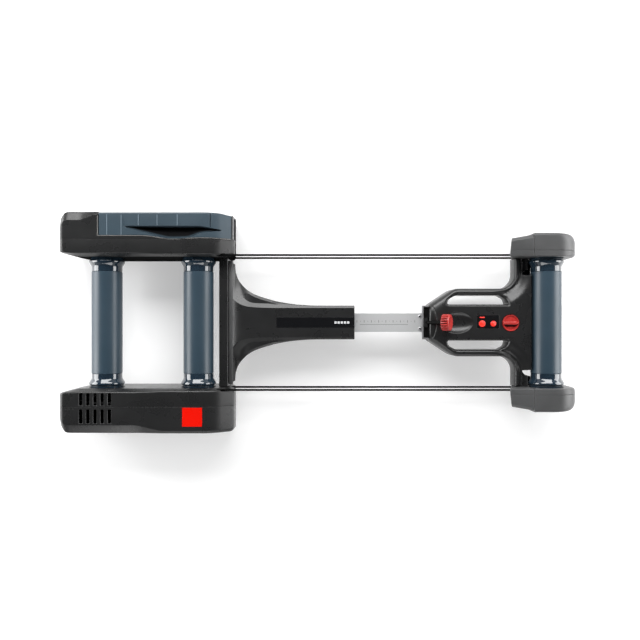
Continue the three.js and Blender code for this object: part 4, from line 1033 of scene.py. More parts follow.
combine(right_outer, round_solid("socket_tool", ALONG, [
    (POD_BACK - 5 * MM, 8 * MM), (POD_BACK + 0.6 * MM, 6.9 * MM), (POD_BACK + 1.4 * MM, 6.3 * MM),
    (POD_BACK + 24 * MM, 6.3 * MM)], socket_y, socket_z, 48))
hand_over(shade(right_outer, 38), casing_plastic, "right_pod_outer_shell")
print("right outer shell:", len(right_outer.data.polygons), "faces")

# %% [markdown]
# ## Cover and hand pocket
# The cover is one more loft with the pod's own lines, so that it follows the nose. The pocket is cut with
# rings that widen towards the top, which leaves a soft rim. A slot across it shows that it is in two parts.

# %% Cover with its pocket
POCKET_FLOOR = 119 * MM
# Corners of the pocket's outline in mm, each with its radius.
POCKET = [(-499, 241.5, 1.5), (-302, 241.5, 60), (-240, 232.8, 1.5), (-300, 225.5, 60), (-340, 208.6, 25),
          (-376, 208.6, 25), (-434, 225.5, 60)]
JOINT_X = -276 * MM
COVER_SHADOW_GAP = 2 * MM


def cover_ring(u, inset):
    top, outer, low, high, across, down, floor = pod_lines(u, inset, RIGHT_SIDE)
    edge, floor = cover_edge(u) + inset, floor + cover_low.z - POD_FLOOR
    corners = [
        (edge, floor, 1 * MM), (outer - 2 * MM, floor, 2 * MM), (outer - 2 * MM, top - COVER_SINK, 5 * MM),
        (edge, top - COVER_SINK, 1 * MM)]
    return [(POD_BACK + u, y, z) for y, z in rounded(corners, 8)]


cover_places = [u for u in pod_places if u > COVER_BACK + COVER_SHADOW_GAP]
side_cover = loft("cover", [
    cover_ring(u, inset) for u, inset in rounded_ends(
        COVER_BACK + COVER_SHADOW_GAP, nose_start - SEAM_GAP, 1 * MM, cover_places)])


def pocket_ring(z, grow):
    """The pocket's outline at a height; growing it near the top gives the rim its soft edge."""
    middle = Vector((-368, 231))
    corners = []
    for x, y, radius in POCKET:
        out = Vector((x, y)) - middle
        corners.append((x + grow * out.x / 40, y + grow * (1 if y > 230 else -1), radius))
    return [(x * MM, y * MM, z) for x, y in rounded(corners, 8)]


cover_top = POD_TOP - COVER_SINK
rim = [(POCKET_FLOOR, -3.0), (POCKET_FLOOR + 2 * MM, -1.2), (POCKET_FLOOR + 6 * MM, -0.2),
       (cover_top - 3 * MM, 0), (cover_top - 1.2 * MM, 0.35), (cover_top, 1.4), (cover_top + 2 * MM, 3.4)]
combine(side_cover, loft("pocket_tool", [pocket_ring(z, grow) for z, grow in rim]))
combine(side_cover, block("joint_tool", (JOINT_X - 0.9 * MM, 239.5 * MM, POD_TOP - 13 * MM),
                          (JOINT_X + 0.9 * MM, 280 * MM, POD_TOP + 1 * MM)))
hand_over(shade(side_cover, 38), cover_plastic, "side_cover")
print("cover:", len(side_cover.data.polygons), "faces")

# %% [markdown]
# ## Ramp in the pocket
# The pocket's floor is a ramp that starts at the inner rim and runs down under the outer one, where a hand
# takes hold. Its colour goes from the cover's own tone to black with depth, as little light gets in there.

# %% Ramp
def make_ramp_finish():
    """The cover's colour where the ramp begins, dark where it is deep."""
    material, tree, shader = new_material("pocket_ramp", 0.7)
    place = add_node(tree, "ShaderNodeTexCoord")
    heights = add_node(tree, "ShaderNodeSeparateXYZ")
    tree.links.new(place.outputs["Object"], heights.inputs[0])
    depth = add_node(tree, "ShaderNodeMapRange", {
        "From Min": cover_top - 5 * MM, "From Max": cover_top - 0.4 * MM})
    tree.links.new(heights.outputs["Z"], depth.inputs["Value"])
    shades = add_node(tree, "ShaderNodeValToRGB")
    shades.color_ramp.elements[0].color = (0.0035, 0.0035, 0.004, 1)
    shades.color_ramp.elements[1].color = (0.034, 0.052, 0.066, 1)
    tree.links.new(depth.outputs["Result"], shades.inputs["Fac"])
    tree.links.new(shades.outputs["Color"], shader.inputs["Base Color"])
    grain = object_noise(tree, 1500, 2)
    raise_surface(tree, shader, grain.outputs["Fac"], 0.4, 0.02 * MM)
    shader.inputs["Specular IOR Level"].default_value = 0.05
    return material


def trim_to_nose(piece):
    """Keeps only what lies under the cover's top, which falls at the nose."""
    rings = []
    for u in cover_places:
        top = pod_lines(u, 0, RIGHT_SIDE)[0] - COVER_SINK - 0.3 * MM
        x, low, high = POD_BACK + u, 195 * MM, 262 * MM
        rings.append([(x, low, 90 * MM), (x, high, 90 * MM), (x, high, top), (x, low, top)])
    combine(piece, loft("nose_trim", rings), "INTERSECT")


def crossings(outline, x):
    """The lowest and highest y at which an outline crosses a line of constant x."""
    found = []
    for place, (x1, y1) in enumerate(outline):
        x0, y0 = outline[place - 1]
        if x0 != x1 and (x0 - x) * (x1 - x) <= 0:
            found.append(y0 + (y1 - y0) * (x - x0) / (x1 - x0))
    return min(found), max(found)


RAMP_DEPTH, RAMP_STEPS = 26 * MM, 10
pocket_outline = [(x, y) for x, y, _ in pocket_ring(cover_top, -0.3)]
pocket_xs = [x for x, y in pocket_outline]
ramp_rings = []
for x in np.linspace(min(pocket_xs) + 3 * MM, max(pocket_xs) - 3 * MM, 63):
    low, high = crossings(pocket_outline, x)
    low = max(low, cover_edge(x - POD_BACK) + 0.3 * MM)
    deep = RAMP_DEPTH * min(1, (high - low) / (14 * MM))
    ring = [(x, low, cover_top - 2.2 * MM)]
    ring += [(x, low + (high - low) * k / RAMP_STEPS, cover_top - 0.5 * MM - deep * (k / RAMP_STEPS) ** 1.2)
             for k in range(RAMP_STEPS + 1)]
    ramp_rings.append(ring + [(x, high, cover_top - 2.2 * MM - deep)])
pocket_ramp = loft("pocket_ramp", ramp_rings)
trim_to_nose(pocket_ramp)
put_with(shade(pocket_ramp, 40), make_ramp_finish(), "side_cover")
print("ramp:", len(pocket_ramp.data.polygons), "faces")

# %% [markdown]
# ## Ribs and lips
# Thin ribs cross the cover as a grip, in a paler tone that is a painted highlight for the light their sides
# catch. The casing's lip along the cover is only 1.5 mm wide but the brightest line of the pod, so it gets
# slivers of its own laid on the casing's edge, in a pale tone that paints that highlight.

# %% Ribs and lips
RIBS = (-535, -499, -456, -409, -358.5)
# The ribs' paler tone is a painted highlight: it stands for the light that their sides catch.
rib_plastic = moulded_plastic("rib_plastic", (0.16, 0.21, 0.25), 0.4, 1500, 0.03 * MM, 0.06)
for number, place in enumerate(RIBS):
    x = place * MM
    inner = cover_edge(x - POD_BACK) + 1.5 * MM if place < -470 else 243.6 * MM
    foot, crest = cover_top - 0.4 * MM, cover_top + 0.6 * MM
    section = rounded([(x - 0.9 * MM, foot, 0), (x + 0.9 * MM, foot, 0), (x + 0.5 * MM, crest, 0.4 * MM),
                       (x - 0.5 * MM, crest, 0.4 * MM)], 3)
    rib = loft(f"cover_rib_{number}", [[(a, y, b) for a, b in section] for y in (inner, 271 * MM)])
    put_with(shade(rib, 50), rib_plastic, "side_cover")

# The lip slivers are a painted highlight: their pale tone stands for the light on the casing's rounded edge.
lip_plastic = moulded_plastic("lip_plastic", (0.3, 0.29, 0.28), 0.4, 1500, 0.02 * MM, 0.04)


def lip_section(edge, top):
    """A sliver under the casing's upper edge that carries the painted highlight; the offsets from it are in
    mm.
    """
    offsets = ((-1.5, -1.2), (-0.05, -1.2), (-0.05, -0.5), (-0.7, -0.05), (-1.5, -0.02))
    return [(edge + a * MM, top + b * MM) for a, b in offsets]


lip_rings = []
for u in [block_end + 0.2 * MM] + [u for u in pod_places if block_end + 2 * MM < u < nose_start]:
    section = lip_section(cover_edge(u) - SEAM_GAP, pod_lines(u, 0, RIGHT_SIDE)[0])
    lip_rings.append([(POD_BACK + u, y, z) for y, z in section])
put_with(shade(loft("cover_lip", lip_rings), 50), lip_plastic, "right_pod_outer_shell")
rear_lip = loft("cover_rear_lip", [
    [(x, y, z) for x, z in lip_section(POD_BACK + block_end, POD_TOP)]
    for y in (cover_edge(block_end) - 1.8 * MM, 268 * MM)])
put_with(shade(rear_lip, 50), lip_plastic, "right_pod_outer_shell")
print("ribs:", len(RIBS), "lip stations:", len(lip_rings))

# %% [markdown]
# ## Neck
# The neck spreads from the bar to the crossbeam like the root of a tree. A ridge runs along each side of its
# flat top, then a narrow bevel, and from there a flute sweeps down to a thin rounded rim. The widths at a few
# places are joined by a curve that never overshoots, and the section is carried along it. The paler flange
# behind, which is screwed to the crossbeam, is a piece of its own.

# %% Neck shell
neck_low, neck_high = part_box("neck_shell")
NECK_BACK, NECK_FRONT = neck_low.x, neck_high.x
# Half widths in mm at places behind the neck's front, measured from its back edge.
NECK_OUTLINE = [
    (0, 160), (12.3, 160), (12.8, 150), (13.7, 139.6), (17.2, 127.7), (21.7, 115.7), (29.6, 103.7),
    (40.6, 91.7), (52.4, 82.1), (69.2, 72.6), (96.4, 63), (132.9, 53.4), (183.2, 46.2), (231.2, 43.7),
    (270, 43.5), (330, 43.5)]
NECK_RIDGE = [(0, 80), (16, 58), (32, 47.3), (53, 40.9), (89, 38.2), (125, 37.5), (330, 37.5)]
FLANGE_DEPTH, FLANGE_TOP, FLANGE_FALL = 12.5 * MM, 101 * MM, 3 * MM
WALL_LEAN = 8 * MM


def gentle_curve(knots, at):
    """A curve through the knots (place, value) that keeps rising or falling as they do."""
    knots, values = np.array(knots, float).T
    steps = np.diff(values) / np.diff(knots)
    slopes = np.zeros_like(values)
    for place in range(1, len(knots) - 1):
        before, after = steps[place - 1], steps[place]
        if before * after > 0:
            slopes[place] = 2 * before * after / (before + after)
    span = int(np.clip(np.searchsorted(knots, at) - 1, 0, len(knots) - 2))
    width = knots[span + 1] - knots[span]
    t = (at - knots[span]) / width
    rise = (2 * t**3 - 3 * t**2 + 1) * values[span] + (3 * t**2 - 2 * t**3) * values[span + 1]
    return rise + width * ((t**3 - 2 * t**2 + t) * slopes[span] + (t**3 - t**2) * slopes[span + 1])


def neck_width(knots, x):
    return MM * gentle_curve(knots, (x - NECK_BACK) / MM)


def neck_ring(x, inset):
    """One section: flat top, bevel, shelf of the flute, rim, and an upright side."""
    half = neck_width(NECK_OUTLINE, x) - inset - (2 * MM if x < NECK_BACK + FLANGE_DEPTH else 0)
    ridge = neck_width(NECK_RIDGE, x)
    lean = (neck_width(NECK_OUTLINE, x) - neck_width(NECK_OUTLINE, x + 0.5 * MM)) / (0.5 * MM)
    side = half - ridge
    top = neck_high.z - inset - 19 * MM * max(0, (NECK_BACK + 75 * MM - x) / (75 * MM)) ** 2.9
    bevel = min(11 * MM, 0.5 * side)
    flute = smooth(x, NECK_BACK + 26 * MM, NECK_BACK + 70 * MM)
    flute *= 1 - smooth(x, NECK_BACK + 105 * MM, NECK_BACK + 160 * MM)
    rim = min(6 * MM * math.hypot(1, lean), 0.3 * side)
    bevel_end = ridge + side * 0.45 * (1 - flute) + bevel * flute
    shelf_end = half - side * 0.2 * (1 - flute) - rim * flute
    bevel_z = top - 0.46 * (side * 0.45 * (1 - flute) + bevel * flute)
    shelf_z = bevel_z - 0.46 * side * 0.35 * (1 - flute) - 0.4 * MM * flute
    rim_z = shelf_z - 0.46 * side * 0.2 * (1 - flute) - 3 * MM * flute
    low_half = min(half, neck_width(NECK_OUTLINE, min(x + WALL_LEAN, NECK_FRONT)) - inset)
    side_points = [
        (low_half, neck_low.z + inset, 1.5 * MM), (half, rim_z - 1 * MM, 1 * MM),
        (half - 0.6 * MM, rim_z, 1 * MM), (shelf_end, shelf_z, 2.5 * MM), (bevel_end, bevel_z, 3.5 * MM),
        (ridge, top, 1.2 * MM)]
    corners = side_points + [(-y, z, r) for y, z, r in reversed(side_points)]
    return [(x, y, z) for y, z in rounded(corners, 6)]


neck_places = [NECK_BACK + place * MM for place in (
    12.6, 12.8, 13, 13.2, 13.5, 13.9, 14.3, 14.9, 15.7, 16.7, 17.9, 19.3, 21.2)]
neck_places += [float(x) for x in np.arange(NECK_BACK + 23.5 * MM, NECK_BACK + 64 * MM, 1.6 * MM)]
neck_places += [float(x) for x in np.arange(NECK_BACK + 64 * MM, NECK_FRONT, 4 * MM)]
neck = loft("neck", [neck_ring(x, inset) for x, inset in rounded_ends(
    NECK_BACK + 4 * MM, NECK_FRONT, 1.5 * MM, neck_places)])
flange_section = rounded([
    (NECK_BACK, neck_low.z, 1 * MM), (NECK_BACK + FLANGE_DEPTH - WALL_LEAN, neck_low.z, 1 * MM),
    (NECK_BACK + FLANGE_DEPTH, FLANGE_TOP, 1.5 * MM), (NECK_BACK, FLANGE_TOP - FLANGE_FALL, 2 * MM)], 4)
flange_middle = Vector((NECK_BACK + FLANGE_DEPTH / 2, (neck_low.z + FLANGE_TOP) / 2))
flange_rings = []
for y, shrink in ((-160, 0.97), (-158.5, 1), (158.5, 1), (160, 0.97)):
    ring = [flange_middle + (point - flange_middle) * shrink for point in flange_section]
    flange_rings.append([(x, y * MM, z) for x, z in ring])
flange = loft("neck_flange", flange_rings)
bar_low, bar_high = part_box("telescopic_bar")
bar_gap = Vector((SEAM_GAP, SEAM_GAP, SEAM_GAP))
bar_end = Vector((NECK_FRONT + 5 * MM, bar_high.y, bar_high.z))
combine(neck, block("bar_tool", bar_low - bar_gap, bar_end + bar_gap))
strip_low, strip_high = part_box("neck_strip")
combine(neck, block("strip_tool", (strip_low.x - SEAM_GAP, strip_low.y - SEAM_GAP, neck_high.z - 1 * MM),
                    (NECK_FRONT + 5 * MM, strip_high.y + SEAM_GAP, neck_high.z + 5 * MM)))
hand_over(shade(neck, 38), casing_plastic, "neck_shell")
put_with(shade(flange, 38), cap_plastic, "neck_shell")
base_low, base_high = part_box("neck_base")
plan_places = [NECK_BACK, NECK_BACK + 4.3 * MM] + neck_places + [NECK_FRONT]
neck_plan = [(x, neck_width(NECK_OUTLINE, min(x + WALL_LEAN, NECK_FRONT)) - 0.4 * MM) for x in plan_places]
neck_plan += [(x, -y) for x, y in reversed(neck_plan)]
neck_floor = prism("neck_floor", neck_plan, base_low.z, base_high.z)
hand_over(shade(neck_floor, 40), casing_plastic, "neck_base")
print("neck:", len(neck.data.polygons), "faces")

# %% [markdown]
# ## Strip on the neck
# A glossy dark strip is let into the neck's top. It stays bare but for a row of small plain squares near its
# front end, which are pale and say nothing.

# %% Neck strip
strip_outline = rectangle(
    strip_low.x, strip_low.y, strip_high.x - 0.2 * MM, strip_high.y, 1 * MM, 4, 0.4 * MM)
strip_piece = prism("strip_gloss", strip_outline, strip_low.z, strip_high.z - 0.35 * MM)
hand_over(soften(strip_piece, 0.25 * MM), dark_gloss, "neck_strip")
pale_ink = moulded_plastic("pale_ink", (0.55, 0.56, 0.57), 0.45, 900, 0.004 * MM, 0.05)
SQUARE, SQUARE_PITCH, SQUARE_FIRST, SQUARE_COUNT = 6 * MM, 8.1 * MM, 36.5 * MM, 5
square = prism("square", rectangle(SQUARE_FIRST, -SQUARE / 2, SQUARE_FIRST + SQUARE, SQUARE / 2, 0.8 * MM),
               strip_high.z - 0.34 * MM, strip_high.z - 0.28 * MM)
squares = row("strip_squares", square, SQUARE_COUNT, pale_ink, (SQUARE_PITCH, 0, 0))
put_with(squares, pale_ink, "neck_strip")
print("squares on the strip:", SQUARE_COUNT)

# %% [markdown]
# ## Cushioned bodies
# The head is one free-form moulding with two handle holes. Its shape is an outline with holes whose top
# follows a height function, and whose edges roll over with the distance to the nearest edge. Points are laid
# along the edges at a few distances and on a grid between them, and joined into triangles.

# %% Cushion helper
def resampled(outline, spacing):
    points = []
    for place, point in enumerate(outline):
        after = outline[(place + 1) % len(outline)]
        pieces = max(1, math.ceil((after - point).length / spacing))
        points += [point.lerp(after, step / pieces) for step in range(pieces)]
    return [point for place, point in enumerate(points) if (point - points[place - 1]).length > 0.02 * MM]


def edge_distance(points, starts, ends):
    along = ends - starts
    size = np.maximum((along**2).sum(1), 1e-18)
    nearest = np.full(len(points), 1e9)
    for chunk in range(0, len(points), 1500):
        part = points[chunk:chunk + 1500]
        gap = part[:, None] - starts[None]
        share = np.clip((gap * along).sum(2) / size, 0, 1)
        miss = gap - share[..., None] * along
        nearest[chunk:chunk + 1500] = np.sqrt((miss**2).sum(2)).min(1)
    return nearest


def is_inside(points, starts, ends):
    """Even-odd test against all loops at once, so that holes count as outside."""
    crossings = np.zeros(len(points), int)
    for (ax, ay), (bx, by) in zip(starts, ends):
        if ay == by:
            continue
        spans = (points[:, 1] > ay) != (points[:, 1] > by)
        crossings += spans & (points[:, 0] < ax + (points[:, 1] - ay) * (bx - ax) / (by - ay))
    return crossings % 2 == 1


def roll_over(distance, radius):
    reach = np.clip(distance, 0, radius)
    return radius - np.sqrt(np.maximum(radius**2 - (radius - reach) ** 2, 0))


def cushion(name, loops, top, under, spacing, insets, extra=()):
    loops = [resampled(loop, spacing) for loop in loops]
    rim, edges, starts, ends = [], [], [], []
    for loop in loops:
        first = len(rim)
        rim += loop
        for place in range(len(loop)):
            edges.append((first + place, first + (place + 1) % len(loop)))
    rim = np.array([tuple(point) for point in rim])
    starts, ends = rim[[a for a, b in edges]], rim[[b for a, b in edges]]
    side = np.stack([(ends - starts)[:, 1], -(ends - starts)[:, 0]], 1)
    side /= np.linalg.norm(side, axis=1)[:, None]
    points = [rim]
    for inset in insets:
        for turn in (1, -1):
            moved = (starts + ends) / 2 + side * inset * turn
            moved = moved[is_inside(moved, starts, ends)]
            points.append(moved[edge_distance(moved, starts, ends) > inset * 0.97])
    low, high = rim.min(0), rim.max(0)
    grid = np.stack(np.meshgrid(np.arange(low[0], high[0], spacing), np.arange(low[1], high[1], spacing)), 2)
    free = grid.reshape(-1, 2)
    extra = np.array(extra).reshape(-1, 2)
    if len(extra):
        near = np.array([((extra - point) ** 2).sum(1).min() for point in free])
        free = free[near > (0.6 * spacing) ** 2]
    for cloud, least in ((free, max(insets) + 0.5 * spacing), (extra, max(insets) + 0.2 * MM)):
        if len(cloud):
            cloud = cloud[is_inside(cloud, starts, ends)]
            points.append(cloud[edge_distance(cloud, starts, ends) > least])
    flat = np.concatenate(points)
    places, _, faces, *_ = delaunay_2d_cdt([Vector(point) for point in flat], edges, [], 0, 0.001 * MM)
    places = np.array([tuple(place) for place in places])
    middles = np.array([places[list(face)].mean(0) for face in faces])
    faces = [face for face, kept in zip(faces, is_inside(middles, starts, ends)) if kept]
    distance = edge_distance(places, starts, ends)
    distance[distance < 0.01 * MM] = 0
    upper = [(x, y, z) for (x, y), z in zip(places, top(places[:, 0], places[:, 1], distance))]
    lower = [(x, y, z) for (x, y), z in zip(places, under(places[:, 0], places[:, 1], distance))]
    count = len(places)
    walls = {}
    for face in faces:
        for a, b in zip(face, (*face[1:], face[0])):
            if (b, a) in walls:
                del walls[(b, a)]
            else:
                walls[(a, b)] = True
    skin = [tuple(face) for face in faces] + [tuple(v + count for v in reversed(face)) for face in faces]
    skin += [(b, a, a + count, b + count) for a, b in walls]
    return close_up(new_piece(name, upper + lower, skin), 0.004 * MM)

# %% [markdown]
# ## Head
# The head's top is flat in the middle, where the panel and the dial lie. It falls away past the handle holes
# and along the arms, so those slopes catch the light. The handles are round bars, because the rolled edges of
# hole and outline meet on them. Behind the collar the shoulders slope, with a fine groove across.

# %% Head shell
head_low, head_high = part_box("head_shell")
HEAD_BACK, HEAD_FRONT, ARM_END = head_low.x, head_high.x, head_high.y
SCOOP_X, SCOOP_LENGTH, SCOOP_WIDTH = HEAD_BACK + 70 * MM, 43 * MM, 27.5 * MM
ELBOW, ELBOW_X, ELBOW_Y = 45 * MM, HEAD_FRONT - 86 * MM, 133 * MM
NOTCH_BACK, NOTCH_START, NOTCH_END = HEAD_FRONT - 21 * MM, 121 * MM, 135 * MM


def half_plan(arm_depth):
    """Half an outline, from the collar over the shoulder and the elbow to the arm's end."""
    arm_back = HEAD_FRONT - arm_depth
    return [
        (HEAD_BACK, 43.5 * MM, 4 * MM), (HEAD_BACK + 6 * MM, 49 * MM, 6 * MM),
        (HEAD_BACK + 65 * MM, 88 * MM, 45 * MM), (arm_back, 88 * MM, ELBOW), (arm_back, ARM_END, 2 * MM)]


def head_plan():
    half = half_plan(41 * MM) + [
        (HEAD_FRONT - 6.5 * MM, ARM_END, 2 * MM), (HEAD_FRONT - 6.5 * MM, 137 * MM, 2 * MM),
        (HEAD_FRONT - 13 * MM, 136 * MM, 1.5 * MM), (HEAD_FRONT - 23 * MM, 124.5 * MM, 1.5 * MM),
        (HEAD_FRONT, 122 * MM, 2 * MM)]
    return rounded(half + [(x, -y, r) for x, y, r in reversed(half)], 10)


def handle_holes(length):
    corners = [
        (HEAD_BACK + 46.5 * MM, 46.5 * MM, 4 * MM), (HEAD_BACK + 48 * MM + length, 46.5 * MM, 3 * MM),
        (HEAD_BACK + 43 * MM + length, 61.5 * MM, 14 * MM), (HEAD_BACK + 25 * MM + length, 71 * MM, 22 * MM),
        (HEAD_BACK + 72 * MM, 71 * MM, 24 * MM), (HEAD_BACK + 51.5 * MM, 60.5 * MM, 18 * MM)]
    return [rounded([(x, side * y, r) for x, y, r in corners], 9) for side in (1, -1)]


def elbow_distance(x, y):
    """Distance from the outer edge of handle, elbow and arm."""
    return np.hypot(np.maximum(x - ELBOW_X, 0), np.maximum(ELBOW_Y - np.abs(y), 0)) - ELBOW


def head_fall(x, y):
    """How far the head's top lies under its highest plane."""
    across = np.abs(y)
    handle = 8 * MM * smooth(across, 47 * MM, 94 * MM)
    from_edge = elbow_distance(x, y)
    slope = 10 * MM * (1 - smooth(from_edge, 17 * MM, 46 * MM))
    elbow = slope + 4 * MM * np.exp(-(((from_edge - 14.5 * MM) / (4.2 * MM)) ** 2)) - 2.5 * MM * (
        1 - smooth(from_edge, 6 * MM, 13 * MM))
    share = smooth(x, 448 * MM, 484 * MM)
    fall = handle * (1 - share) + elbow * share
    from_shoulder = 0.552 * (x - HEAD_BACK - 6 * MM) - 0.834 * (across - 49 * MM)
    shoulder = roll_over(from_shoulder, 31 * MM) * 0.5
    fall = np.maximum(fall, shoulder) + 2.5 * MM * (1 - smooth(x, HEAD_BACK, HEAD_BACK + 60 * MM)) ** 2
    reach = ((x - SCOOP_X) / SCOOP_LENGTH) ** 2 + (y / SCOOP_WIDTH) ** 2
    fall = fall + 11 * MM * np.maximum(1 - reach, 0) ** 0.75
    groove = x - (HEAD_BACK + 20 * MM - 15 * MM * (across / (50 * MM)) ** 2)
    fall = fall + 0.9 * MM * np.exp(-((groove / (0.8 * MM)) ** 2)) * (1 - smooth(across, 52 * MM, 58 * MM))
    notch = np.clip((across - NOTCH_START) / (NOTCH_END - NOTCH_START), 0, 1)
    return fall + 9 * MM * notch * smooth(x, NOTCH_BACK - 1 * MM, NOTCH_BACK + 1 * MM)


def edge_radius(x, y):
    """Broad on the handles and the outer edges, tighter where the plateau meets the holes."""
    across = np.abs(y)
    by_hole = smooth(x, HEAD_BACK + 41 * MM, HEAD_BACK + 48 * MM) * (
        1 - smooth(x, HEAD_BACK + 200 * MM, HEAD_BACK + 207 * MM))
    tight = by_hole * (1 - smooth(across, 50 * MM, 60 * MM))
    front = smooth(x, HEAD_FRONT - 8 * MM, HEAD_FRONT - 5 * MM)
    cut = smooth(across, 114 * MM, 118 * MM) * smooth(x, HEAD_FRONT - 30 * MM, HEAD_FRONT - 25 * MM)
    return ((8.5 - 2.5 * tight - 5 * front * (1 - tight)) * (1 - cut) + 1.2 * cut) * MM


def head_top(x, y, distance):
    return head_high.z - head_fall(x, y) - roll_over(distance, edge_radius(x, y))


scoop_points = []
for share in (0.3, 0.5, 0.68, 0.82, 0.91, 0.96, 0.99, 1.02, 1.08):
    for step in range(72):
        angle = math.tau * step / 72
        scoop_points.append((
            SCOOP_X + SCOOP_LENGTH * share * math.cos(angle), SCOOP_WIDTH * share * math.sin(angle)))
groove_points = []
for step in range(-36, 37):
    y = step * 1.5 * MM
    for off in (-1.6, -0.8, -0.4, 0, 0.4, 0.8, 1.6):
        groove_points.append((HEAD_BACK + (20 + off) * MM - 15 * MM * (y / (50 * MM)) ** 2, y))
notch_points = []
for side in (1, -1):
    for x in np.arange(NOTCH_BACK - 1 * MM, HEAD_FRONT - 8 * MM, 2 * MM):
        notch_points += [(x, side * y) for y in (NOTCH_START, NOTCH_END)]
    for y in np.arange(NOTCH_START, ARM_END - 8 * MM, 2 * MM):
        notch_points += [(NOTCH_BACK + off * MM, side * y) for off in (-1, 0, 1)]
EDGE_STEPS = [step * MM for step in (0.25, 0.8, 1.8, 3.2, 5, 7)]
head = cushion("head", [head_plan(), *handle_holes(158 * MM)], head_top,
               lambda x, y, distance: head_low.z + roll_over(distance, 0.8 * MM) + 0 * x,
               3.2 * MM, EDGE_STEPS, scoop_points + groove_points + notch_points)
print("head:", len(head.data.polygons), "faces")

# %% [markdown]
# ## Cuts in the head
# The bar and its screws slide inside the head, the knob turns in a trough on a tilted axis, and the panel and
# the dial lie in recesses. Exact booleans cut all these after the cushion is made.

# %% Cuts in the head
KNOB_X, KNOB_Z, KNOB_TILT = 322.5 * MM, 127.5 * MM, math.radians(27)
knob_frame = Matrix.Translation((KNOB_X, 0, KNOB_Z)) @ Matrix.Rotation(-KNOB_TILT, 4, "Y")


def on_knob_axis(piece):
    """Shapes for the knob are made along X at the origin and then laid on its tilted axis."""
    piece.data.transform(knob_frame)
    return piece


def in_metres(rows):
    return [tuple(value * MM for value in values) for values in rows]


SLIDE_ROOM = 80 * MM
CUT_BACK = HEAD_BACK - 6 * MM
combine(head, block("bar_tool", (CUT_BACK, bar_low.y - SEAM_GAP, bar_low.z - SEAM_GAP),
                    (bar_high.x + SLIDE_ROOM, bar_high.y + SEAM_GAP, bar_high.z + SEAM_GAP)))
low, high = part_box("bar_screw_right")
for side in (1, -1):
    y0, y1 = sorted((side * (low.y - 0.6 * MM), side * (high.y + 0.6 * MM)))
    combine(head, block("screw_tool", (CUT_BACK, y0, low.z - 6 * MM),
                        (high.x + SLIDE_ROOM + 8 * MM, y1, high.z + 0.6 * MM)))
trough = in_metres([(-12.4, 22.0), (-11.6, 22.4), (108, 22.4)])
combine(head, on_knob_axis(round_solid("knob_tool", ALONG, trough, 0, 0)))
combine(head, on_knob_axis(round_solid("stem_tool", ALONG, in_metres([(-58, 4.4), (2, 4.4)]), 0, 0, 32)))
slot = rectangle(HEAD_BACK + 8.5 * MM, -4.8 * MM, KNOB_X, 4.8 * MM, 2 * MM, 4, 1 * MM)
combine(head, prism("slot_tool", slot, bar_high.z + 2 * MM, head_high.z + 5 * MM))
panel_low, panel_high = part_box("control_panel")


def panel_outline(grow):
    low, high = panel_low, panel_high
    return rectangle(low.x - grow, low.y - grow, high.x + grow, high.y + grow, 2 * MM, 4)


combine(head, loft("panel_tool", [
    [(x, y, z) for x, y in panel_outline(grow)]
    for z, grow in ((head_high.z - 2.6 * MM, SEAM_GAP), (head_high.z - 0.5 * MM, SEAM_GAP),
                    (head_high.z + 0.4 * MM, 1.1 * MM))]))
dial_low, dial_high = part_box("lock_dial")
DIAL_X, DIAL_Y, DIAL_RADIUS = (dial_low.x + dial_high.x) / 2, (dial_low.y + dial_high.y) / 2, 21 * MM
combine(head, round_solid("dial_tool", UP, [
    (head_high.z - 4 * MM, DIAL_RADIUS + 0.6 * MM), (head_high.z - 1.8 * MM, DIAL_RADIUS + 0.6 * MM),
    (head_high.z + 0.4 * MM, DIAL_RADIUS + 3 * MM)], DIAL_X, DIAL_Y, 72))
hand_over(shade(head, 40), casing_plastic, "head_shell")
print("head after cuts:", len(head.data.polygons), "faces")

# %% [markdown]
# ## Head base
# The base closes the head from below and reaches under the front drum's ends. It is a second cushion whose
# underside rolls over. Its outline isn't symmetrical: it closes the shell's notch on the right only.

# %% Head base
def base_plan():
    half = half_plan(31 * MM) + [(HEAD_FRONT + 13 * MM, ARM_END, 2 * MM)]
    front = [(HEAD_FRONT + x * MM, y * MM, 2 * MM) for x, y in (
        (13, 112), (0, 108), (0, -126), (-13, -127), (-5, -141), (13, -142))]
    return rounded(half + front + [(x, -y, r) for x, y, r in reversed(half)], 10)


base_low, base_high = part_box("head_base")
head_base = cushion(
    "head_base_round", [base_plan(), *handle_holes(171 * MM)],
    lambda x, y, distance: base_high.z - roll_over(distance, 0.8 * MM) + 0 * x,
    lambda x, y, distance: base_low.z + roll_over(distance, 8.5 * MM) + 0 * x, 7 * MM, EDGE_STEPS)
hand_over(shade(head_base, 40), casing_plastic, "head_base")
print("head base:", len(head_base.data.polygons), "faces")

# %% [markdown]
# ## Front end housings
# An arm end tapers towards each cap, and the cap rounds the front in side view and in plan. A parting groove
# runs along the top of both, beside the drum, and their rounded rims leave a fine joint where they meet.

# %% Arm ends and end caps
GROOVE_Y, GROOVE_HALF, GROOVE_SINK = 182 * MM, 0.7 * MM, 0.8 * MM
arm_low, arm_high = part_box("right_arm_end")
cap_low, cap_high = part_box("right_end_cap")
ARM_LEAN = 46 * MM
JOINT_SHIFT = 7.5 * MM
CAP_OUTER, CAP_INNER = 24 * MM, 9 * MM


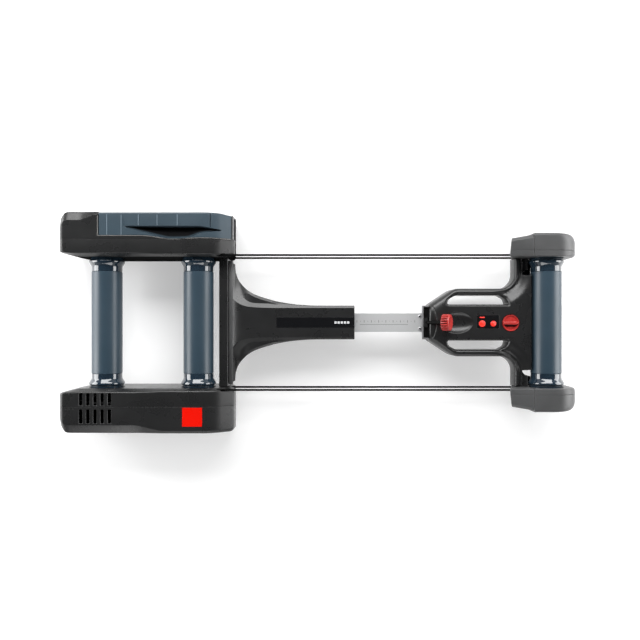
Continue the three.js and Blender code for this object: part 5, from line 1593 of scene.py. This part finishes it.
def arm_ring(x, inset, sign):
    """The back wall leans forwards towards the floor, and a little outwards too."""
    share = (x - arm_low.x) / (arm_high.x - JOINT_SHIFT - arm_low.x)
    outer = 213 * MM + 9 * MM * share - inset
    top = arm_high.z - 4 * MM * (1 - share) - inset
    inner, low = arm_low.y + inset, arm_low.z + inset
    corners = [
        (inner, low, 1.5 * MM), (outer - 4 * MM, low, 2 * MM), (outer, low + 4 * MM, 2 * MM),
        (outer, top - 8 * MM, 4 * MM), (outer - 8 * MM, top, 4 * MM), (GROOVE_Y + GROOVE_HALF, top, 0.3 * MM),
        (GROOVE_Y, top - GROOVE_SINK, 0.2 * MM), (GROOVE_Y - GROOVE_HALF, top, 0.3 * MM),
        (inner, top, 2 * MM)]
    ring = []
    for y, z in rounded(corners, 5):
        lean = ARM_LEAN * (top - z) / (top - low) + 4 * MM * (y - inner) / (outer - inner)
        ring.append((x + lean * (1 - share), sign * y, z))
    return ring


def cap_ring(y, sign):
    """The cap's side view at a place across it; the plan's corners and the top edge pull it in."""
    groove = GROOVE_SINK * max(0, 1 - abs(y - GROOVE_Y) / GROOVE_HALF)
    plan = arc_drop(y - (cap_high.y - CAP_OUTER), CAP_OUTER) + arc_drop(cap_low.y + CAP_INNER - y, CAP_INNER)
    edge = arc_drop(y - (cap_high.y - 7 * MM), 7 * MM) + arc_drop(cap_low.y + 2 * MM - y, 2 * MM)
    back, front = cap_low.x - JOINT_SHIFT + edge * 0.3, cap_high.x - max(plan, edge) - groove
    low, top = cap_low.z + edge, cap_high.z - edge - groove
    corners = [
        (back, low, 1 * MM), (front, low, 46 * MM), (front, top, 60 * MM), (back, top, 1.2 * MM)]
    return [(x, sign * y, z) for x, z in rounded(corners, 14)]


cap_places = [cap_low.y + CAP_INNER * (1 - math.cos(math.radians(9 * step))) for step in range(11)]
cap_places += [GROOVE_Y + side * GROOVE_HALF for side in (-1, 0, 1)] + [188 * MM, 196 * MM]
cap_places += [cap_high.y - CAP_OUTER * (1 - math.sin(math.radians(6 * step))) for step in range(15)]
cap_places += [cap_high.y - 1.2 * MM * share for share in (0.9, 0.6, 0.35, 0.15, 0.04, 0)]
arm_front = arm_high.x - JOINT_SHIFT
arm_places = [float(x) for x in np.arange(arm_low.x, arm_front, 8 * MM)]
axle_rows = [(160, 46.5), (166.5, 45.4), (167.6, 44.2), (184, 44), (184.05, 14.4), (192.4, 14.4),
             (192.45, 8.5), (203, 8.5)]
axis = axes["front"]
for side, sign in (("right", 1), ("left", -1)):
    arm = loft(f"{side}_arm_round", [
        arm_ring(x, inset, sign) for x, inset in rounded_ends(arm_low.x, arm_front, 2 * MM, arm_places)])
    cut_belt_slots(arm, sign, arm_low.x - 5 * MM, arm_high.x + 5 * MM)
    hand_over(shade(arm, 38), cap_plastic, f"{side}_arm_end")
    cap = loft(f"{side}_cap_round", [cap_ring(y, sign) for y in sorted(cap_places)])
    rows = [(sign * y * MM, r * MM) for y, r in axle_rows]
    combine(cap, round_solid("axle_tool", ACROSS, rows, axis.x, axis.z, 72))
    cut_belt_slots(cap, sign, cap_low.x - 15 * MM, axis.x)
    hand_over(shade(cap, 38), cap_plastic, f"{side}_end_cap")
    print(side, "arm and cap:", len(arm.data.polygons), len(cap.data.polygons), "faces")

# %% [markdown]
# ## Belts
# A round elastic cord on each side joins the middle and the front drum. It runs in the drums' grooves. When
# the wheelbase changes the cord stretches. A tree sweeps a circle along a loop with round ends, so one form
# fits any wheelbase.

# %% Belts
BELT_RADIUS, BELT_STEP = 2.6 * MM, 5 * MM


def make_belt_tree():
    tree, given = new_tree("belt", Wheelbase="Float", Route_Radius="Float", Cord_Radius="Float", Step="Float",
                           Centre="Vector")
    height = add_node(tree, "ShaderNodeMath", {1: 2.0}, operation="MULTIPLY")
    length = add_node(tree, "ShaderNodeMath", operation="ADD")
    loop = tree.nodes.new("GeometryNodeCurvePrimitiveQuadrilateral")
    rounding = add_node(tree, "GeometryNodeFilletCurve", {"Count": 12, "Limit Radius": True}, mode="POLY")
    even = add_node(tree, "GeometryNodeResampleCurve", mode="LENGTH")
    upright = add_node(tree, "GeometryNodeTransform", {"Rotation": (math.pi / 2, 0, 0)})
    cord = add_node(tree, "GeometryNodeCurvePrimitiveCircle", {"Resolution": 14})
    sweep = tree.nodes.new("GeometryNodeCurveToMesh")
    link = tree.links.new
    link(given.outputs["Route Radius"], height.inputs[0])
    link(given.outputs["Wheelbase"], length.inputs[0])
    link(height.outputs[0], length.inputs[1])
    link(length.outputs[0], loop.inputs["Width"])
    link(height.outputs[0], loop.inputs["Height"])
    link(loop.outputs["Curve"], rounding.inputs["Curve"])
    link(given.outputs["Route Radius"], rounding.inputs["Radius"])
    link(rounding.outputs["Curve"], even.inputs["Curve"])
    link(given.outputs["Step"], even.inputs["Length"])
    link(even.outputs["Curve"], upright.inputs["Geometry"])
    link(given.outputs["Centre"], upright.inputs["Translation"])
    link(given.outputs["Cord Radius"], cord.inputs["Radius"])
    link(upright.outputs["Geometry"], sweep.inputs["Curve"])
    link(cord.outputs["Curve"], sweep.inputs["Profile Curve"])
    return end_tree(tree, given, sweep.outputs["Mesh"])


belt_tree = make_belt_tree()
middle, front = axes["middle"], axes["front"]
for side, sign in (("right", 1), ("left", -1)):
    belt = grow_piece(
        f"{side}_belt_cord", belt_tree, Wheelbase=front.x - middle.x, Route_Radius=BELT_ROUTE,
        Cord_Radius=BELT_RADIUS, Step=BELT_STEP, Centre=((middle.x + front.x) / 2, sign * BELT_Y, middle.z),
        Finish=belt_rubber)
    shade(close_up(belt), 60)
    print(belt.name, len(belt.data.polygons), "faces")
    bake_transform(belt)
    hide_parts(f"{side}_belt")

# %% [markdown]
# ## Telescopic bar
# The bar is a drawn box tube with soft corners. A printed scale runs along its top: a tick for every step of
# wheelbase, and a thin line beside them. The marks are thin blocks copied in a row, so they need no image.
# Two screws at the end stop the bar from sliding out.

# %% Bar, scale and screws
dressed_copy("telescopic_bar", 1.1 * MM, 3)
scale_ink = moulded_plastic("scale_ink", (0.06, 0.062, 0.065), 0.6, 900, 0.002 * MM)
TICK_FIRST, TICK_PITCH, TICK_COUNT = 95 * MM, 18.8 * MM, 9
INK_LOW, INK_HIGH = bar_high.z - 0.2 * MM, bar_high.z + 0.04 * MM
tick = block("tick", (TICK_FIRST, 0, INK_LOW), (TICK_FIRST + 0.9 * MM, 6 * MM, INK_HIGH))
ticks = row("scale_ticks", tick, TICK_COUNT, scale_ink, (TICK_PITCH, 0, 0))
put_with(ticks, scale_ink, "telescopic_bar")
small_x = TICK_FIRST + TICK_PITCH / 2
small = block("small_tick", (small_x, 1.6 * MM, INK_LOW), (small_x + 0.5 * MM, 4.4 * MM, INK_HIGH))
half_ticks = row("scale_half_ticks", small, TICK_COUNT - 1, scale_ink, (TICK_PITCH, 0, 0))
put_with(half_ticks, scale_ink, "telescopic_bar")
line = block("scale_line", (103 * MM, -5.6 * MM, INK_LOW), (228 * MM, -4.9 * MM, INK_HIGH))
put_with(line, scale_ink, "telescopic_bar")
for side in ("left", "right"):
    low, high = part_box(f"bar_screw_{side}")
    x, y, r = (low.x + high.x) / 2, (low.y + high.y) / 2, (high.x - low.x) / 2
    screw = round_solid(f"bar_screw_{side}_fine", UP, [
        (low.z, r), (high.z - 1.2 * MM, r), (high.z - 0.5 * MM, r * 0.88), (high.z - 0.15 * MM, r * 0.66),
        (high.z, r * 0.42)], x, y, 40)
    hexagon = [(high.z - 1.6 * MM, r * 0.36), (high.z + 2 * MM, r * 0.36)]
    combine(screw, round_solid("hex_tool", UP, hexagon, x, y, 6))
    hand_over(shade(screw, 40), screw_steel, f"bar_screw_{side}")
print("marks on the bar:", 2 * TICK_COUNT - 1)

# %% [markdown]
# ## Clamp knob
# The red knob is turned by hand, so it has ribs all round, made as a row that turns instead of moving. Its
# axis leans so that fingers clear the head. It turns a screw that presses the shoe onto the bar.

# %% Knob, stem and shoe
RIB_COUNT = 20
core_rows = in_metres([
    (-11, 15.8), (-10.4, 17.2), (-9.4, 18), (6.4, 18), (6.8, 20.2), (7.6, 20.9), (9.4, 20.7), (10.6, 19.6),
    (11, 17.4), (11, 15.4), (10.5, 14.6), (10.5, 0.4)])
core = round_solid("knob_core", ALONG, core_rows, 0, 0, 80)
rib_section = rounded(in_metres([(-1.9, 17.2, 0), (1.9, 17.2, 0), (1.3, 20.95, 0.9), (-1.3, 20.95, 0.9)]), 4)
rib_rings = []
for x, shrink in ((-10.4, 1.3), (-9.8, 0.5), (-9.0, 0), (6, 0), (7, 0.1)):
    rib_rings.append([(x * MM, y, z - shrink * MM * (1 if z > 19.5 * MM else 0)) for y, z in rib_section])
rib = loft("knob_rib", rib_rings)
ribs = row("knob_ribs", rib, RIB_COUNT, red_plastic, turn=(math.tau / RIB_COUNT, 0, 0))
combine(core, ribs, "UNION")
on_knob_axis(core)
hand_over(shade(core, 40), red_plastic, "clamp_knob")
# Painted shade: a dark red sleeve under the ribs darkens the grooves between them. The same dark red is the
# painted shadow beside the dial's grip.
groove_red = moulded_plastic("groove_red", (0.035, 0.003, 0.003), 0.6, 1600, 0.02 * MM, 0.05, gloss=0.1)
groove_rows = in_metres([(-9.1, 17.6), (-9.0, 18.2), (5.9, 18.2), (6, 17.6)])
grooves = round_solid("knob_grooves", ALONG, groove_rows, 0, 0, 80)
put_with(shade(on_knob_axis(grooves), 40), groove_red, "clamp_knob")
stem_rows = in_metres([(-52.5, 3.0), (-52, 3.6), (-51, 4), (-10.8, 4)])
stem = on_knob_axis(round_solid("knob_stem", ALONG, stem_rows, 0, 0, 40))
stem_black = moulded_plastic("stem_black", (0.004, 0.004, 0.004), 0.5, 900, 0.01 * MM, gloss=0.1)
put_with(shade(stem, 40), stem_black, "clamp_knob")
dressed_copy("clamp_shoe", 0.5 * MM, finish=coated_steel)
print("knob:", len(core.data.polygons), "faces,", RIB_COUNT, "ribs")

# %% [markdown]
# ## Collar
# The pale collar is a ring round the bar at the back of the head. Its lower back is cut away, and a well lies
# between its thin rear wall and the head; a black sheet on its floor is painted shade. The booleans come
# before
# the bevel here: after it they fail.

# %% Collar
collar_low, collar_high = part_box("collar")
collar_plastic = moulded_plastic("collar_plastic", (0.17, 0.17, 0.175), 0.38, 1500, 0.03 * MM)
collar = copy_of("collar")
rear, low_z, high_z = collar_low.x - 2 * MM, collar_low.z - 2 * MM, collar_high.z - 6 * MM
wedge = [(rear, high_z), (rear, low_z), (collar_low.x + 12 * MM, low_z), (collar_low.x + 0.3 * MM, high_z)]
combine(collar, loft("wedge", [
    [(x, y, z) for x, z in wedge] for y in (collar_low.y - 2 * MM, collar_high.y + 2 * MM)]))
well_x, well_y, well_floor = collar_low.x + 4.6 * MM, 38.5 * MM, bar_high.z + 4 * MM
combine(collar, block("well_tool", (well_x, -well_y, well_floor),
                      (collar_high.x + 2 * MM, well_y, collar_high.z + 2 * MM)))
hand_over(soften(tidy_faces(collar), 0.5 * MM), collar_plastic, "collar")
print("collar:", len(collar.data.polygons), "faces")
# A thin black sheet on the well's floor paints the shade in the well.
well = block("collar_well", (well_x + 0.1 * MM, -well_y + 0.1 * MM, well_floor + 0.1 * MM),
             (collar_high.x - 0.2 * MM, well_y - 0.1 * MM, well_floor + 1.1 * MM))
put_with(soften(well, 0.2 * MM), stem_black, "collar")

# %% [markdown]
# ## Control panel and lock dial
# A glossy black panel carries two round lights and a small bar light. Beside it the red dial locks the
# steering: a disc in a round recess with a pointed grip across it.

# %% Panel, lights and dial
panel = loft("panel_gloss", [
    [(x, y, z) for x, y in panel_outline(-inset)]
    for z, inset in ((panel_low.z, 0.0), (panel_high.z - 1.2 * MM, 0.0), (panel_high.z - 0.9 * MM, 0.15 * MM),
                     (panel_high.z - 0.8 * MM, 0.4 * MM))])
hand_over(shade(panel, 40), dark_gloss, "control_panel")
for side in ("back", "front"):
    low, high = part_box(f"round_light_{side}")
    x, y, r = (low.x + high.x) / 2, (low.y + high.y) / 2, (high.x - low.x) / 2
    lens = round_solid(f"round_light_{side}_lens", UP, [
        (low.z - 1.0 * MM, r), (high.z - 0.9 * MM, r), (high.z - 0.35 * MM, r * 0.93),
        (high.z - 0.2 * MM, r * 0.84), (high.z - 0.7 * MM, r * 0.76), (high.z - 0.7 * MM, r * 0.5),
        (high.z - 0.2 * MM, r * 0.42), (high.z, r * 0.2), (high.z, 0.02 * r)], x, y)
    hand_over(shade(lens, 35), lens_red, f"round_light_{side}")
low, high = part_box("bar_light")
middle_y = (low.y + high.y) / 2
lens_outline = rectangle(
    low.x + 1 * MM, middle_y - 1.4 * MM, high.x - 1 * MM, middle_y + 1.4 * MM, 1 * MM, 5)
bar_lens = prism("bar_light_lens", lens_outline, low.z - 1.0 * MM, high.z)
hand_over(soften(bar_lens, 0.4 * MM, 3), lens_red, "bar_light")

dial_rows = [(0, 20.4), (0.6, 21), (4.4, 21), (5.1, 20.5), (5.2, 19.8), (4.4, 18.8), (1.9, 17.4), (1.6, 0.2)]
dial_rows = [(dial_low.z + z * MM, r * MM) for z, r in dial_rows]
dial = round_solid("dial_round", UP, dial_rows, DIAL_X, DIAL_Y, 96)
grip_rings = []
for z, shrink in ((1, 0), (8.4, 0.1), (9.8, 0.5), (10.6, 1.3), (11.0, 2.6)):
    half = (4.6 - shrink) * MM
    reach = (20.2 - 0.6 * shrink) * MM
    neck_x = DIAL_X + reach - 8 * MM
    outline = rounded([
        (DIAL_X - reach, DIAL_Y - half * 0.8, 1.4 * MM), (neck_x, DIAL_Y - half, 2 * MM),
        (DIAL_X + reach, DIAL_Y, 1.2 * MM), (neck_x, DIAL_Y + half, 2 * MM),
        (DIAL_X - reach, DIAL_Y + half * 0.8, 1.4 * MM)], 4)
    grip_rings.append([(x, y, dial_low.z + z * MM) for x, y in outline])
combine(dial, loft("grip", grip_rings), "UNION")
hand_over(shade(dial, 40), red_plastic, "lock_dial")
# A painted shadow in the recess: a dark patch on the grip's shadow side.
shadow_side = rounded([
    (DIAL_X - 16 * MM, DIAL_Y - 4 * MM, 1 * MM), (DIAL_X - 13.5 * MM, DIAL_Y - 9.5 * MM, 3 * MM),
    (DIAL_X + 13.5 * MM, DIAL_Y - 9.5 * MM, 3 * MM), (DIAL_X + 16 * MM, DIAL_Y - 4 * MM, 1 * MM)], 4)
recess = prism("dial_recess", shadow_side, dial_low.z + 1.2 * MM, dial_low.z + 2.1 * MM)
put_with(shade(recess, 40), groove_red, "lock_dial")
print("dial:", len(dial.data.polygons), "faces")

# %% [markdown]
# ## Crossbeam, plates, feet and the parts inside
# These are plain shapes whose nodes are right already. A copy of each gets its flat faces joined and its
# edges rounded, so that edges gleam as on real parts.

# %% Rounded copies
for node, width in (
        ("crossbeam", 1.6), ("circuit_board", 0.2), ("flywheel", 0.9), ("step_motor", 0.7),
        ("power_socket", 0.3)):
    dressed_copy(node, width * MM)
for node, width in (
        ("left_side_plate", 0.6), ("right_side_plate", 0.6), ("magnet_yoke", 0.6), ("brake_disc", 0.5)):
    dressed_copy(node, width * MM, finish=coated_steel)
for end in DRUMS:
    for side in ("left", "right"):
        dressed_copy(f"{side}_{end}_foot", 1.2 * MM)
        dressed_copy(f"{end}_bearing_{side}", 0.5 * MM)
    low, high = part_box(f"{end}_drum_axle")
    x, z, r = (low.x + high.x) / 2, (low.z + high.z) / 2, (high.x - low.x) / 2
    shaft = round_solid(f"{end}_axle_fine", ACROSS, [
        (low.y, r * 0.8), (low.y + 1.2 * MM, r), (high.y - 1.2 * MM, r), (high.y, r * 0.8)], x, z, 40)
    hand_over(shade(shaft, 40), brushed_steel, f"{end}_drum_axle")
